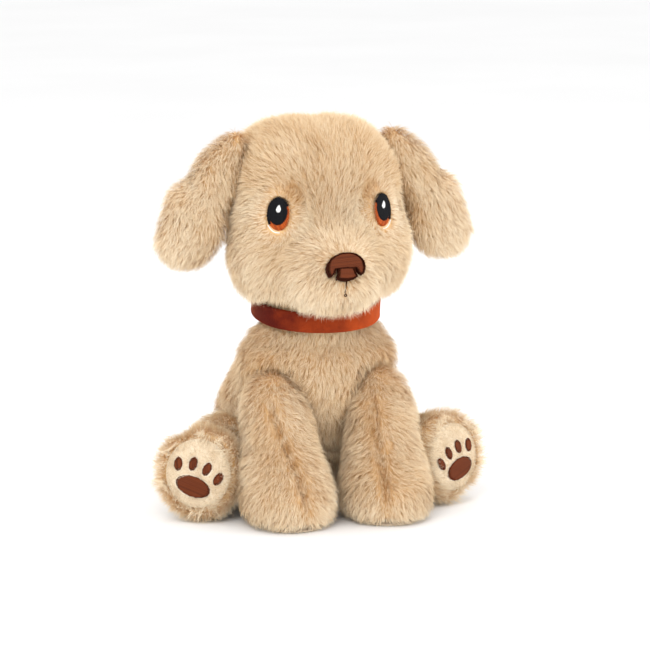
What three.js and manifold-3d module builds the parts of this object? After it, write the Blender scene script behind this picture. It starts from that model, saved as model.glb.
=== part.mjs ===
// Sitting plush puppy, about 24 cm tall: a fur fabric cover over fibre filling, sewn limbs and ears,
// embroidered face, velvet collar and bean bags in the seat and hind feet.
// Millimetres. +Z up, the puppy looks along -Y, its own left is +X.
// The origin is the centre of the flat seat face.

import * as THREE from 'three';
import * as BufferGeometryUtils from 'three/addons/utils/BufferGeometryUtils.js';
import Module from 'manifold-3d';

const wasm = await Module();
wasm.setup();

// ---------------------------------------------------------------- driving dimensions

const WALL = 3.0;               // fur fabric with its backing
const GAP = 0.4;                // room between pieces that lie on each other
const SWING_GAP = 0.9;          // room round a sewn root that flexes
const ROOM_GAP = 3.2;           // the same where the room is cut with a coarser form
const SOFTNESS = 2.6;           // how sharply two stuffed bulges meet
const SIDES = { left: 1, right: -1 };

const HEAD_CENTRE = [0, -38, 182];
const NECK_PIVOT = [0, -42.5, 136];
const NECK_TILT = 8;            // the collar dips towards the chin
const NECK_RADIUS = 36.6;
const NECK_CORE_RADIUS = 17;
const HEAD_NOD = 6;

const COLLAR_INNER = 37.4;
const COLLAR_THICK = 2.2;
const COLLAR_HEIGHT = 12.5;
const COLLAR_DROP = 10;         // collar centre below the neck pivot, along the neck

const SHOULDER = [34, -62, 74];
const SHOULDER_RADIUS = 20;
const LEG_SWING = 20;
const HIP = [38, 2, 33];
const HIP_RADIUS = 21;
const HIP_SPLAY = 20;
const FOOT_CENTRE = [77.5, -58, 29.5];
const FOOT_SPLAY = 27;          // the soles turn outwards
const FOOT_LEAN = 7;            // and look slightly up
const SOLE_OFFSET = 10;         // sole plane ahead of the foot's centre
const SOLE_RADIUS = [20.5, 21.5];
const SOLE_THICK = 1.5;
const PAD_THICK = 1.3;

const PAW_CENTRE = [30.5, -88, 12];
const PAW_SOLE_RADIUS = [21, 22.5];
const PAW_SOLE_THICK = 1.2;

const EAR_ROOT = [47, -33, 229];
const EAR_LIFT = 60;
const TAIL_ROOT = [0, 44, 22];
const TAIL_WAG = 20;

const EYE_AT = [33, 187];       // across and up
const EYE_YAW = 32;
const EYE_PITCH = 6;
const EYE_RADIUS = [7.8, 11];
const EYE_SINK = 0.9;           // the embroidery lies this deep in the fur
const IRIS_INSET = 0.9;
const PUPIL = { radii: [6.1, 8.4], at: [0.3, 1.9] };
const SHINE = { radii: [1.3, 2.0], at: [-0.3, 3.6] };
const EYE_THREAD = { width: 0.55, from: -100, to: -35 };
const THREAD_THICK = 0.7;
const NOSE_HEIGHT = 159;
const NOSE_PITCH = 24;
const NOSE_SINK = 1.2;
const NOSE_POCKET = [13.2, 11];
const NOSE_CAP_THICK = 1.4;
const NOSE_BASE_THICK = 1.2;
const POCKET_DEPTH = 14;        // a pocket is cut this far out through the face

const BAG_TOP = 22;             // the seat bag fills the torso below this height
const FOOT_BAG_LENGTH = 18;     // the foot bag reaches this far back from the sole
const OPENING_RADIUS = 9;       // the turning hole in a limb's root
const TAIL_OPENING_RADIUS = 6;

// ---------------------------------------------------------------- colours

const FUR = { color: 0xe0c59b, roughness: 0.95 };
const FUR_DEEP = { color: 0xcda774, roughness: 0.95 };
const SOLE = { color: 0xe6d3b4, roughness: 0.9 };
const FIBRE = { color: 0xf3f0ea, roughness: 1.0 };
const BAG = { color: 0xd9d6cf, roughness: 0.9 };
const VELVET = { color: 0xa33a16, roughness: 0.8 };
const BROWN = { color: 0x6b3018, roughness: 0.6 };
const BLACK = { color: 0x15151a, roughness: 0.5 };
const AMBER = { color: 0xb9571d, roughness: 0.55 };
const WHITE = { color: 0xf1eeea, roughness: 0.6 };

const ROOM = { around: 12, rings: 9 };

const dog = new THREE.Group();

// ---------------------------------------------------------------- helpers

function radians(degrees) {
  return THREE.MathUtils.degToRad(degrees);
}

// A three.js geometry as a solid that can be cut and joined.
function toSolid(geometry) {
  const plain = geometry.clone();
  plain.deleteAttribute('normal');
  plain.deleteAttribute('uv');
  const merged = BufferGeometryUtils.mergeVertices(plain, 1e-4);
  const vertProperties = new Float32Array(merged.attributes.position.array);
  const triVerts = new Uint32Array(merged.index.array);
  return new wasm.Manifold(new wasm.Mesh({ numProp: 3, vertProperties, triVerts }));
}

function toGeometry(solid) {
  const mesh = solid.getMesh();
  const geometry = new THREE.BufferGeometry();
  geometry.setAttribute('position', new THREE.BufferAttribute(new Float32Array(mesh.vertProperties), 3));
  geometry.setIndex(new THREE.BufferAttribute(new Uint32Array(mesh.triVerts), 1));
  return geometry;
}

function addPiece(name, solid, look) {
  const material = new THREE.MeshStandardMaterial({ ...look, metalness: 0 });
  const mesh = new THREE.Mesh(toGeometry(solid), material);
  mesh.name = name;
  dog.add(mesh);
}

// The matrix that turns about an axis through a pivot.
function turnAbout(pivot, axis, degrees) {
  const [x, y, z] = pivot;
  const way = new THREE.Vector3(...axis).normalize();
  const turn = new THREE.Matrix4().makeRotationAxis(way, radians(degrees));
  const out = new THREE.Matrix4().makeTranslation(x, y, z);
  return out.multiply(turn).multiply(new THREE.Matrix4().makeTranslation(-x, -y, -z));
}

// One solid joined from a geometry placed at each of several turns, as the room that a swing needs.
function sweptSolid(geometry, pivot, axis, angles) {
  let joined = null;
  for (const angle of angles) {
    const turned = toSolid(geometry.clone().applyMatrix4(turnAbout(pivot, axis, angle)));
    joined = joined ? joined.add(turned) : turned;
  }
  return joined;
}

// A blob is an ellipsoid: centre and three radii. A stuffed form is several blobs run together.
function blob(centre, radii) {
  return { centre, radii };
}

function mirrored(blobs, side) {
  return blobs.map(({ centre, radii }) => blob([centre[0] * side, centre[1], centre[2]], radii));
}

function grown(blobs, amount) {
  return blobs.map(({ centre, radii }) => blob(centre, radii.map((radius) => radius + amount)));
}

// Above zero inside the run-together blobs, below zero outside.
function fullness(blobs, point) {
  let total = 0;
  for (const { centre, radii } of blobs) {
    let reach = 0;
    for (let k = 0; k < 3; k += 1) {
      reach += ((point[k] - centre[k]) / radii[k]) ** 2;
    }
    total += Math.exp(-SOFTNESS * (reach - 1));
  }
  return total - 1;
}

// How far the form reaches from a point inside it along one direction.
function reachAlong(blobs, origin, direction, far = 160) {
  let near = 0;
  let out = far;
  for (let step = 0; step < 40; step += 1) {
    const middle = (near + out) / 2;
    const point = origin.map((value, k) => value + direction[k] * middle);
    if (fullness(blobs, point) > 0) {
      near = middle;
    } else {
      out = middle;
    }
  }
  return near;
}

// A closed stuffed form: a sphere whose points are pushed out to the blobs' surface.
// spread stretches the sphere's directions along a long or flat form. Nothing goes below the floor.
function stuffedForm(origin, blobs, { around = 24, rings = 16, spread = [1, 1, 1], floor = 0 } = {}) {
  const geometry = new THREE.SphereGeometry(1, around, rings);
  geometry.rotateX(Math.PI / 2);
  const position = geometry.attributes.position;
  for (let k = 0; k < position.count; k += 1) {
    const aim = new THREE.Vector3(
      position.getX(k) * spread[0],
      position.getY(k) * spread[1],
      position.getZ(k) * spread[2],
    ).normalize();
    const reach = reachAlong(blobs, origin, [aim.x, aim.y, aim.z]);
    const z = Math.max(origin[2] + aim.z * reach, floor);
    position.setXYZ(k, origin[0] + aim.x * reach, origin[1] + aim.y * reach, z);
  }
  return geometry;
}

function ball(centre, radius, around = 24, rings = 16) {
  return new THREE.SphereGeometry(radius, around, rings).translate(...centre);
}

// A big block whose upper face is the plane z = 0 of the given placement.
function blockBelow(placement) {
  return toSolid(new THREE.BoxGeometry(400, 400, 400).translate(0, 0, -200).applyMatrix4(placement));
}

// A placement whose own +Z looks along the heading: yaw from straight ahead to the left, pitch up.
function facing(point, yaw, pitch) {
  const placement = new THREE.Matrix4().makeTranslation(...point);
  placement.multiply(new THREE.Matrix4().makeRotationZ(radians(yaw)));
  placement.multiply(new THREE.Matrix4().makeRotationX(radians(90 - pitch)));
  return placement;
}

// A flat oval plate standing on the plane z = from of its placement.
function ovalPlate(radii, thick, { at = [0, 0], turn = 0, from = 0, sides = 20 } = {}) {
  const plate = new THREE.CylinderGeometry(1, 1, thick, sides);
  plate.rotateX(Math.PI / 2);
  plate.scale(radii[0], radii[1], 1);
  plate.rotateZ(radians(turn));
  plate.translate(at[0], at[1], from + thick / 2);
  return plate;
}

function outlinePlate(shape, thick, from, curveSegments = 5) {
  const plate = new THREE.ExtrudeGeometry(shape, { depth: thick, bevelEnabled: false, curveSegments });
  return plate.translate(0, 0, from);
}

// ---------------------------------------------------------------- neck and collar frame

const NECK_FRAME = new THREE.Matrix4().makeTranslation(...NECK_PIVOT);
NECK_FRAME.multiply(new THREE.Matrix4().makeRotationX(radians(NECK_TILT)));

// A closed ring of rectangular section round the neck axis, heights measured from the pivot.
function neckRing(inner, outer, low, high, around) {
  const profile = [
    new THREE.Vector2(inner, low),
    new THREE.Vector2(outer, low),
    new THREE.Vector2(outer, high),
    new THREE.Vector2(inner, high),
    new THREE.Vector2(inner, low),
  ];
  const ring = new THREE.LatheGeometry(profile, around).rotateX(Math.PI / 2);
  return ring.applyMatrix4(NECK_FRAME);
}

function neckDisc(radius, low, high, around) {
  const profile = [
    new THREE.Vector2(0, low),
    new THREE.Vector2(radius, low),
    new THREE.Vector2(radius, high),
    new THREE.Vector2(0, high),
  ];
  const disc = new THREE.LatheGeometry(profile, around).rotateX(Math.PI / 2);
  return disc.applyMatrix4(NECK_FRAME);
}

const COLLAR_LOW = -COLLAR_DROP - COLLAR_HEIGHT / 2;
const COLLAR_HIGH = -COLLAR_DROP + COLLAR_HEIGHT / 2;
const COLLAR_OUTER = COLLAR_INNER + COLLAR_THICK;

// ---------------------------------------------------------------- front legs

const FRONT_LEG = [
  blob(SHOULDER, [SHOULDER_RADIUS, SHOULDER_RADIUS, SHOULDER_RADIUS]),
  blob([33, -72, 50], [20, 20, 30]),
  blob([31.5, -82, 28], [24, 24, 24]),
  blob(PAW_CENTRE, [27.4, 28.5, 19]),
];
const FRONT_LEG_HEART = [32, -76, 42];
const FRONT_SWING_AXIS = [-1, 0, 0];
const FRONT_SWING_STEPS = [0, LEG_SWING];
const LEG_BODY = { around: 16, rings: 13, spread: [1, 1, 1.6], floor: PAW_SOLE_THICK + GAP };
const LEG_INSIDE = { around: 10, rings: 8, spread: [1, 1, 1.6], floor: LEG_BODY.floor + WALL };

function frontLegRoom(side) {
  const room = stuffedForm(
    [FRONT_LEG_HEART[0] * side, FRONT_LEG_HEART[1], FRONT_LEG_HEART[2]],
    mirrored(grown(FRONT_LEG, ROOM_GAP), side),
    { ...LEG_BODY, ...ROOM, floor: 0 },
  );
  const pivot = [SHOULDER[0] * side, SHOULDER[1], SHOULDER[2]];
  return sweptSolid(room, pivot, FRONT_SWING_AXIS, FRONT_SWING_STEPS);
}

function buildFrontLeg(name, side) {
  const heart = [FRONT_LEG_HEART[0] * side, FRONT_LEG_HEART[1], FRONT_LEG_HEART[2]];
  const outside = toSolid(stuffedForm(heart, mirrored(FRONT_LEG, side), LEG_BODY));
  const hollow = toSolid(stuffedForm(heart, mirrored(grown(FRONT_LEG, -WALL), side), LEG_INSIDE));
  const filled = mirrored(grown(FRONT_LEG, -WALL - GAP), side);
  const filling = toSolid(stuffedForm(heart, filled, { ...LEG_INSIDE, floor: LEG_INSIDE.floor + GAP }));
  // The root is open towards the torso, where the filling was pushed in.
  const mouthCentre = [(SHOULDER[0] - SHOULDER_RADIUS * 0.9) * side, SHOULDER[1] + 4, SHOULDER[2] + 2];
  const mouth = toSolid(ball(mouthCentre, OPENING_RADIUS, 12, 8));
  addPiece(`${name}_front_leg_cover`, outside.subtract(hollow).subtract(mouth), FUR);
  addPiece(`${name}_front_leg_filling`, filling, FIBRE);
  const sole = ovalPlate(PAW_SOLE_RADIUS, PAW_SOLE_THICK);
  sole.translate(PAW_CENTRE[0] * side, PAW_CENTRE[1] - 1, 0);
  addPiece(`${name}_front_sole`, toSolid(sole), SOLE);
}

// ---------------------------------------------------------------- hind legs

const HIND_LEG = [
  blob(HIP, [HIP_RADIUS, HIP_RADIUS, HIP_RADIUS]),
  blob([56, -24, 30], [22, 26, 27]),
  blob(FOOT_CENTRE, [26, 20, 29.5]),
];
const HIND_LEG_HEART = [59, -30, 28];
const HIND_BODY = { around: 16, rings: 11, spread: [1, 1.4, 1] };
const HIND_INSIDE = { around: 10, rings: 8, spread: [1, 1.4, 1], floor: WALL };

function hindSolePlane(side) {
  const heading = facing([0, 0, 0], FOOT_SPLAY * side, FOOT_LEAN);
  const ahead = new THREE.Vector3(0, 0, SOLE_OFFSET).applyMatrix4(heading);
  const foot = new THREE.Vector3(FOOT_CENTRE[0] * side, FOOT_CENTRE[1], FOOT_CENTRE[2]).add(ahead);
  return facing([foot.x, foot.y, foot.z], FOOT_SPLAY * side, FOOT_LEAN);
}

// A copy of the placement moved along its own +Z.
function shifted(placement, along) {
  return placement.clone().multiply(new THREE.Matrix4().makeTranslation(0, 0, along));
}

function hindLegRoom(side) {
  const room = stuffedForm(
    [HIND_LEG_HEART[0] * side, HIND_LEG_HEART[1], HIND_LEG_HEART[2]],
    mirrored(grown(HIND_LEG, ROOM_GAP), side),
    { ...HIND_BODY, ...ROOM, around: 16, floor: -1 },
  );
  const pivot = [HIP[0] * side, HIP[1], HIP[2]];
  return sweptSolid(room, pivot, [0, 0, side], [0, HIP_SPLAY]);
}

function buildHindLeg(name, side) {
  const heart = [HIND_LEG_HEART[0] * side, HIND_LEG_HEART[1], HIND_LEG_HEART[2]];
  const solePlane = hindSolePlane(side);
  const outside = toSolid(stuffedForm(heart, mirrored(HIND_LEG, side), HIND_BODY));
  const outsideFlat = outside.intersect(blockBelow(shifted(solePlane, -SOLE_THICK - GAP)));
  const hollow = toSolid(stuffedForm(heart, mirrored(grown(HIND_LEG, -WALL), side), HIND_INSIDE));
  const hollowFlat = hollow.intersect(blockBelow(shifted(solePlane, -SOLE_THICK - GAP - WALL)));
  const mouthCentre = [(HIP[0] - HIP_RADIUS * 0.8) * side, HIP[1] + 9, HIP[2] + 2];
  const mouth = toSolid(ball(mouthCentre, OPENING_RADIUS, 12, 8));
  addPiece(`${name}_hind_leg_cover`, outsideFlat.subtract(hollowFlat).subtract(mouth), FUR);

  // Fibre fills the thigh, and a bag of beans weights the foot.
  const filledBlobs = mirrored(grown(HIND_LEG, -WALL - GAP), side);
  const filled = toSolid(stuffedForm(heart, filledBlobs, { ...HIND_INSIDE, floor: WALL + GAP }));
  const filledFlat = filled.intersect(blockBelow(shifted(solePlane, -SOLE_THICK - WALL - 2 * GAP)));
  const bagBack = shifted(solePlane, -SOLE_THICK - WALL - FOOT_BAG_LENGTH);
  addPiece(`${name}_hind_leg_filling`, filledFlat.intersect(blockBelow(bagBack)), FIBRE);
  addPiece(`${name}_foot_bean_bag`, filledFlat.subtract(blockBelow(shifted(bagBack, GAP))), BAG);

  const sole = ovalPlate(SOLE_RADIUS, SOLE_THICK, { from: -SOLE_THICK }).applyMatrix4(solePlane);
  addPiece(`${name}_hind_sole`, toSolid(sole), SOLE);
  buildPads(name, side, solePlane);
}

// Embroidered pads: one wide heel pad and an arc of four toes above it. The print is turned so
// that its outer toes stand higher.
const PRINT_TURN = 19;
const HEEL_PAD = { radii: [10.8, 5.9], at: [0, -8.4] };
const TOE_PAD = { radii: [2.35, 4.1], arcRadius: 25.6, arcCentre: [0, -20.6], first: 120.8, step: -20.5 };
const TOE_LEAN = 0.45;          // how much of the arc a toe turns with

function buildPads(name, side, solePlane) {
  const print = solePlane.clone().multiply(new THREE.Matrix4().makeRotationZ(radians(PRINT_TURN * side)));
  const heel = ovalPlate(HEEL_PAD.radii, PAD_THICK, { at: HEEL_PAD.at, from: GAP, sides: 16 });
  addPiece(`${name}_heel_pad`, toSolid(heel.applyMatrix4(print)), BROWN);
  for (let toe = 0; toe < 4; toe += 1) {
    const angle = TOE_PAD.first + TOE_PAD.step * toe;
    const across = TOE_PAD.arcCentre[0] + TOE_PAD.arcRadius * Math.cos(radians(angle));
    const up = TOE_PAD.arcCentre[1] + TOE_PAD.arcRadius * Math.sin(radians(angle));
    const plate = ovalPlate(TOE_PAD.radii, PAD_THICK, {
      at: [across, up],
      turn: (angle - 90) * TOE_LEAN,
      from: GAP,
      sides: 10,
    });
    addPiece(`${name}_toe_pad_${toe + 1}`, toSolid(plate.applyMatrix4(print)), BROWN);
  }
}

// ---------------------------------------------------------------- ears

// Each ear is a flat leaf: narrow at its sewn root, broad and round at its tip.
const EAR = [
  blob([52, -34, 223], [9, 11, 12]),
  blob([62, -35, 207], [11, 11, 18]),
  blob([76, -38, 183], [16, 10, 20]),
  blob([81, -41, 170], [19, 10, 17]),
];
const EAR_HEART = [75, -38, 186];
const EAR_TURN = 6;            // the leaf's outer edge is swept back
const EAR_BODY = { around: 16, rings: 14, spread: [1, 0.6, 1.5] };

function earForm(side, amount, detail = EAR_BODY) {
  const leaf = stuffedForm(EAR_HEART, grown(EAR, amount), detail);
  leaf.applyMatrix4(turnAbout(EAR_ROOT, [0, 0, 1], EAR_TURN));
  if (side < 0) {
    return mirrorGeometry(leaf);
  }
  return leaf;
}

// The mirror image across the puppy's middle plane, with its faces kept looking out.
function mirrorGeometry(geometry) {
  const copy = geometry.clone().scale(-1, 1, 1);
  const index = copy.index;
  for (let k = 0; k < index.count; k += 3) {
    const second = index.getX(k + 1);
    index.setX(k + 1, index.getX(k + 2));
    index.setX(k + 2, second);
  }
  return copy;
}

function earAxis(side) {
  return [0, -side, 0];
}

function earRoom(side) {
  const pivot = [EAR_ROOT[0] * side, EAR_ROOT[1], EAR_ROOT[2]];
  const steps = [0, EAR_LIFT / 2, EAR_LIFT];
  return sweptSolid(earForm(side, ROOM_GAP, EAR_BODY), pivot, earAxis(side), steps);
}

function buildEar(name, side) {
  const leaf = toSolid(earForm(side, 0));
  const middle = facing([EAR_HEART[0] * side, EAR_HEART[1] + 3, EAR_HEART[2]], EAR_TURN * side, 0);
  addPiece(`${name}_ear_back_panel`, leaf.intersect(blockBelow(shifted(middle, -GAP / 2))), FUR_DEEP);
  addPiece(`${name}_ear_front_panel`, leaf.subtract(blockBelow(shifted(middle, GAP / 2))), FUR);
}

// ---------------------------------------------------------------- tail

const TAIL = [
  blob(TAIL_ROOT, [11, 11, 11]),
  blob([0, 58, 17], [11, 15, 11]),
  blob([0, 73, 15], [9.5, 13, 9.5]),
];
const TAIL_HEART = [0, 60, 17];
const TAIL_BODY = { around: 12, rings: 10, spread: [1, 1.6, 1], floor: 3 };

function tailRoom() {
  const room = stuffedForm(TAIL_HEART, grown(TAIL, ROOM_GAP), { ...TAIL_BODY, ...ROOM, floor: 0 });
  return sweptSolid(room, TAIL_ROOT, [0, 0, 1], [-TAIL_WAG, TAIL_WAG]);
}

function buildTail() {
  const outside = toSolid(stuffedForm(TAIL_HEART, TAIL, TAIL_BODY));
  const inside = { ...TAIL_BODY, around: 8, rings: 6, floor: 3 + WALL };
  const hollow = toSolid(stuffedForm(TAIL_HEART, grown(TAIL, -WALL), inside));
  const filling = toSolid(stuffedForm(TAIL_HEART, grown(TAIL, -WALL - GAP), inside));
  const mouthCentre = [TAIL_ROOT[0], TAIL_ROOT[1] - 10, TAIL_ROOT[2] + 1];
  const mouth = toSolid(ball(mouthCentre, TAIL_OPENING_RADIUS, 10, 6));
  addPiece('tail_cover', outside.subtract(hollow).subtract(mouth), FUR);
  addPiece('tail_filling', filling, FIBRE);
}

// ---------------------------------------------------------------- torso

const TORSO = [
  blob([0, 6, 40], [51, 44, 43]),
  blob([0, -18, 64], [48, 40, 42]),
  blob([0, -42, 88], [42, 34, 31]),
  blob([31, -45, 100], [19, 21, 22]),
  blob([-31, -45, 100], [19, 21, 22]),
];
const TORSO_HEART = [0, -22, 66];
const TORSO_BODY = { around: 24, rings: 16, floor: -10 };
const TORSO_INSIDE = { around: 14, rings: 9, floor: WALL };

// The neck is a slice of a ball about the pivot, flat above and below, and held by the collar.
function neckStump(radius, high, around, low = -COLLAR_DROP - 20) {
  const steps = 6;
  const profile = [new THREE.Vector2(0, low)];
  for (let step = 0; step <= steps; step += 1) {
    const height = low + ((high - low) * step) / steps;
    profile.push(new THREE.Vector2(Math.sqrt(radius ** 2 - height ** 2), height));
  }
  profile.push(new THREE.Vector2(0, high));
  return new THREE.LatheGeometry(profile, around).rotateX(Math.PI / 2).applyMatrix4(NECK_FRAME);
}

// Nothing of the shoulders stands above the collar's lower edge.
function belowCollar(solid, margin) {
  return solid.intersect(blockBelow(shifted(NECK_FRAME, COLLAR_LOW - margin)));
}

function buildTorso() {
  const rooms = [];
  for (const side of Object.values(SIDES)) {
    rooms.push(frontLegRoom(side));
    rooms.push(hindLegRoom(side));
  }
  rooms.push(tailRoom());
  const coreRoom = toSolid(ball(NECK_PIVOT, NECK_CORE_RADIUS + ROOM_GAP, 12, 8));

  // The seat is pressed flat where it rests.
  const round = toSolid(stuffedForm(TORSO_HEART, TORSO, TORSO_BODY));
  const body = belowCollar(round, GAP).subtract(blockBelow(new THREE.Matrix4()));
  const bodyIn = toSolid(stuffedForm(TORSO_HEART, grown(TORSO, -WALL), TORSO_INSIDE));
  const hollow = belowCollar(bodyIn, GAP + WALL).add(toSolid(neckStump(NECK_RADIUS - WALL, 12, 16)));
  let cover = body.add(toSolid(neckStump(NECK_RADIUS, 6, 24))).subtract(hollow);

  const filledBlobs = grown(TORSO, -WALL - GAP);
  const filledIn = toSolid(stuffedForm(TORSO_HEART, filledBlobs, { ...TORSO_INSIDE, floor: WALL + GAP }));
  const stumpIn = toSolid(neckStump(NECK_RADIUS - WALL - 2 * GAP, 4, 14));
  let filled = belowCollar(filledIn, GAP + WALL + GAP).add(stumpIn);
  for (const room of [...rooms, coreRoom]) {
    cover = cover.subtract(room);
    filled = filled.subtract(room);
  }
  const bagTop = new THREE.Matrix4().makeTranslation(0, 0, BAG_TOP);
  addPiece('torso_cover', cover, FUR);
  addPiece('torso_filling', filled.subtract(blockBelow(bagTop)), FIBRE);
  addPiece('seat_bean_bag', filled.intersect(blockBelow(shifted(bagTop, -GAP))), BAG);
  addPiece('neck_core', toSolid(ball(NECK_PIVOT, NECK_CORE_RADIUS, 14, 8)), FIBRE);
}

// ---------------------------------------------------------------- head

const HEAD = [
  blob([0, -32, 192], [50, 44, 46]),
  blob([21, -33, 203], [32, 38, 36]),
  blob([-21, -33, 203], [32, 38, 36]),
  blob([28, -49, 161], [31, 29, 29]),
  blob([-28, -49, 161], [31, 29, 29]),
  blob([0, -40, 154], [42, 40, 27]),
  blob([0, -75, 151], [30, 27, 22]),
  blob([0, -80, 160], [19, 22, 14]),
];
const HEAD_BODY = { around: 28, rings: 20 };
const HEAD_INSIDE = { around: 14, rings: 10 };

// The face's surface at a place given by its distance across and its height.
function faceDepth(across, up) {
  const back = HEAD_CENTRE[1];
  const reach = reachAlong(HEAD, [across, back, up], [0, -1, 0]);
  return back - reach;
}

function eyePlacement(side) {
  const [across, up] = EYE_AT;
  const surface = [across * side, faceDepth(across, up), up];
  return shifted(facing(surface, EYE_YAW * side, EYE_PITCH), -EYE_SINK);
}

function nosePlacement() {
  const surface = [0, faceDepth(0, NOSE_HEIGHT), NOSE_HEIGHT];
  return shifted(facing(surface, 0, NOSE_PITCH), -NOSE_SINK);
}

// The room that the neck, the collar and the core need inside the head at every nod.
function neckRoom() {
  let room = null;
  for (const nod of [-HEAD_NOD, HEAD_NOD]) {
    const turn = turnAbout(NECK_PIVOT, [1, 0, 0], nod);
    const stump = neckStump(NECK_RADIUS + ROOM_GAP, 6 + SWING_GAP, 20).applyMatrix4(turn);
    const band = neckDisc(COLLAR_OUTER + ROOM_GAP, COLLAR_LOW - 30, COLLAR_HIGH + SWING_GAP, 20);
    const piece = toSolid(stump).add(toSolid(band.applyMatrix4(turn)));
    room = room ? room.add(piece) : piece;
  }
  return room.add(toSolid(ball(NECK_PIVOT, NECK_CORE_RADIUS + ROOM_GAP, 12, 8)));
}

function buildHead() {
  const outside = toSolid(stuffedForm(HEAD_CENTRE, HEAD, HEAD_BODY));
  const room = neckRoom();
  const rooms = [room, ...Object.values(SIDES).map((side) => earRoom(side))];
  for (const side of Object.values(SIDES)) {
    const pocket = ovalPlate(EYE_RADIUS.map((radius) => radius + 1.5 * GAP), POCKET_DEPTH, { from: -GAP });
    rooms.push(toSolid(pocket.applyMatrix4(eyePlacement(side))));
  }
  rooms.push(toSolid(ovalPlate(NOSE_POCKET, POCKET_DEPTH, { from: -GAP }).applyMatrix4(nosePlacement())));

  const hollow = toSolid(stuffedForm(HEAD_CENTRE, grown(HEAD, -WALL), HEAD_INSIDE));
  const filled = toSolid(stuffedForm(HEAD_CENTRE, grown(HEAD, -WALL - GAP), HEAD_INSIDE));
  let cover = outside.subtract(hollow);
  let filling = filled;
  for (const space of rooms) {
    cover = cover.subtract(space);
    filling = filling.subtract(space);
  }
  addPiece('head_cover', cover, FUR);
  addPiece('head_filling', filling, FIBRE);
}

// ---------------------------------------------------------------- face

// The iris is an amber oval. The dark pupil covers its upper, outer part, a white drop shines on the
// pupil, and a thin white thread rims the lower outer edge.
function buildEye(name, side) {
  const placement = eyePlacement(side);
  const irisRadii = EYE_RADIUS.map((radius) => radius - IRIS_INSET);
  const iris = ovalPlate(irisRadii, THREAD_THICK, { at: [-0.2 * side, 0.2] });
  addPiece(`${name}_eye_iris`, toSolid(iris.applyMatrix4(placement)), AMBER);

  const pupilBase = THREAD_THICK + GAP;
  const pupilAt = [PUPIL.at[0] * side, PUPIL.at[1]];
  const pupil = ovalPlate(PUPIL.radii, THREAD_THICK, { at: pupilAt, from: pupilBase });
  addPiece(`${name}_eye_pupil`, toSolid(pupil.applyMatrix4(placement)), BLACK);

  const shineBase = pupilBase + THREAD_THICK + GAP;
  const shineAt = [SHINE.at[0] * side, SHINE.at[1]];
  const shine = ovalPlate(SHINE.radii, THREAD_THICK, { at: shineAt, from: shineBase, sides: 10 });
  addPiece(`${name}_eye_highlight`, toSolid(shine.applyMatrix4(placement)), WHITE);

  const rim = new THREE.Shape();
  const [wide, tall] = EYE_RADIUS;
  const { width, from, to } = EYE_THREAD;
  rim.absellipse(0, 0, wide, tall, radians(from), radians(to), false);
  rim.absellipse(0, 0, wide - width, tall - width, radians(to), radians(from), true);
  const crescent = outlinePlate(rim, THREAD_THICK, 0, 8);
  const placed = side > 0 ? crescent : mirrorSoup(crescent);
  addPiece(`${name}_eye_rim`, toSolid(placed.applyMatrix4(placement)), WHITE);
}

// Mirrors a geometry that has no index by giving it one first.
function mirrorSoup(geometry) {
  const plain = geometry.clone();
  plain.deleteAttribute('normal');
  plain.deleteAttribute('uv');
  return mirrorGeometry(BufferGeometryUtils.mergeVertices(plain, 1e-4));
}

// The nose is a domed cap with two curled wings over a smaller base, both satin-stitched.
function buildNose() {
  const placement = nosePlacement();
  const cap = new THREE.Shape();
  cap.moveTo(-10.2, -5.2);
  cap.quadraticCurveTo(-13.2, 0.5, -9.0, 4.6);
  cap.quadraticCurveTo(-4.4, 8.4, 1.6, 8.2);
  cap.quadraticCurveTo(8.4, 8.0, 10.8, 3.4);
  cap.quadraticCurveTo(12.4, -0.6, 9.6, -4.8);
  cap.quadraticCurveTo(7.4, -4.6, 6.2, -0.6);
  cap.lineTo(-6.4, -0.6);
  cap.quadraticCurveTo(-7.8, -4.8, -10.2, -5.2);
  addPiece('nose_cap', toSolid(outlinePlate(cap, NOSE_CAP_THICK, 0)), BROWN);
  dog.children.at(-1).geometry.applyMatrix4(placement);

  const base = new THREE.Shape();
  base.moveTo(-4.8, -1.1);
  base.lineTo(4.8, -1.1);
  base.quadraticCurveTo(4.9, -3.6, 6.0, -6.2);
  base.quadraticCurveTo(0, -8.8, -6.0, -6.4);
  base.quadraticCurveTo(-4.9, -3.6, -4.8, -1.1);
  addPiece('nose_base', toSolid(outlinePlate(base, NOSE_BASE_THICK, 0)), BROWN);
  dog.children.at(-1).geometry.applyMatrix4(placement);
}

// A thread runs down from the nose and ends in a small knot.
const MOUTH_TOP = 148.4;
const MOUTH_LENGTH = 5.2;
const THREAD_RADIUS = 0.5;
const THREAD_STAND = GAP + 0.3; // the thread lies this far off the fur backing
const KNOT_RADIUS = 1.0;

function buildMouth() {
  const low = MOUTH_TOP - MOUTH_LENGTH;
  const topDepth = faceDepth(0, MOUTH_TOP);
  const lowDepth = faceDepth(0, low);
  const slope = Math.atan2(lowDepth - topDepth, MOUTH_LENGTH);
  const length = Math.hypot(lowDepth - topDepth, MOUTH_LENGTH);
  const thread = new THREE.CylinderGeometry(THREAD_RADIUS, THREAD_RADIUS, length, 8);
  thread.rotateX(Math.PI / 2 + slope);
  thread.translate(0, (topDepth + lowDepth) / 2 - THREAD_RADIUS - THREAD_STAND, (MOUTH_TOP + low) / 2);
  addPiece('mouth_thread', toSolid(thread), BROWN);
  const knotCentre = [0, lowDepth - KNOT_RADIUS - THREAD_STAND, low - 1.7 * KNOT_RADIUS];
  const knot = ball(knotCentre, KNOT_RADIUS, 8, 6);
  addPiece('mouth_knot', toSolid(knot), BROWN);
}

// ---------------------------------------------------------------- collar

function buildCollar() {
  const band = neckRing(COLLAR_INNER, COLLAR_OUTER, COLLAR_LOW, COLLAR_HIGH, 32);
  addPiece('collar_band', toSolid(band), VELVET);
}

// ---------------------------------------------------------------- assembly

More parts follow.
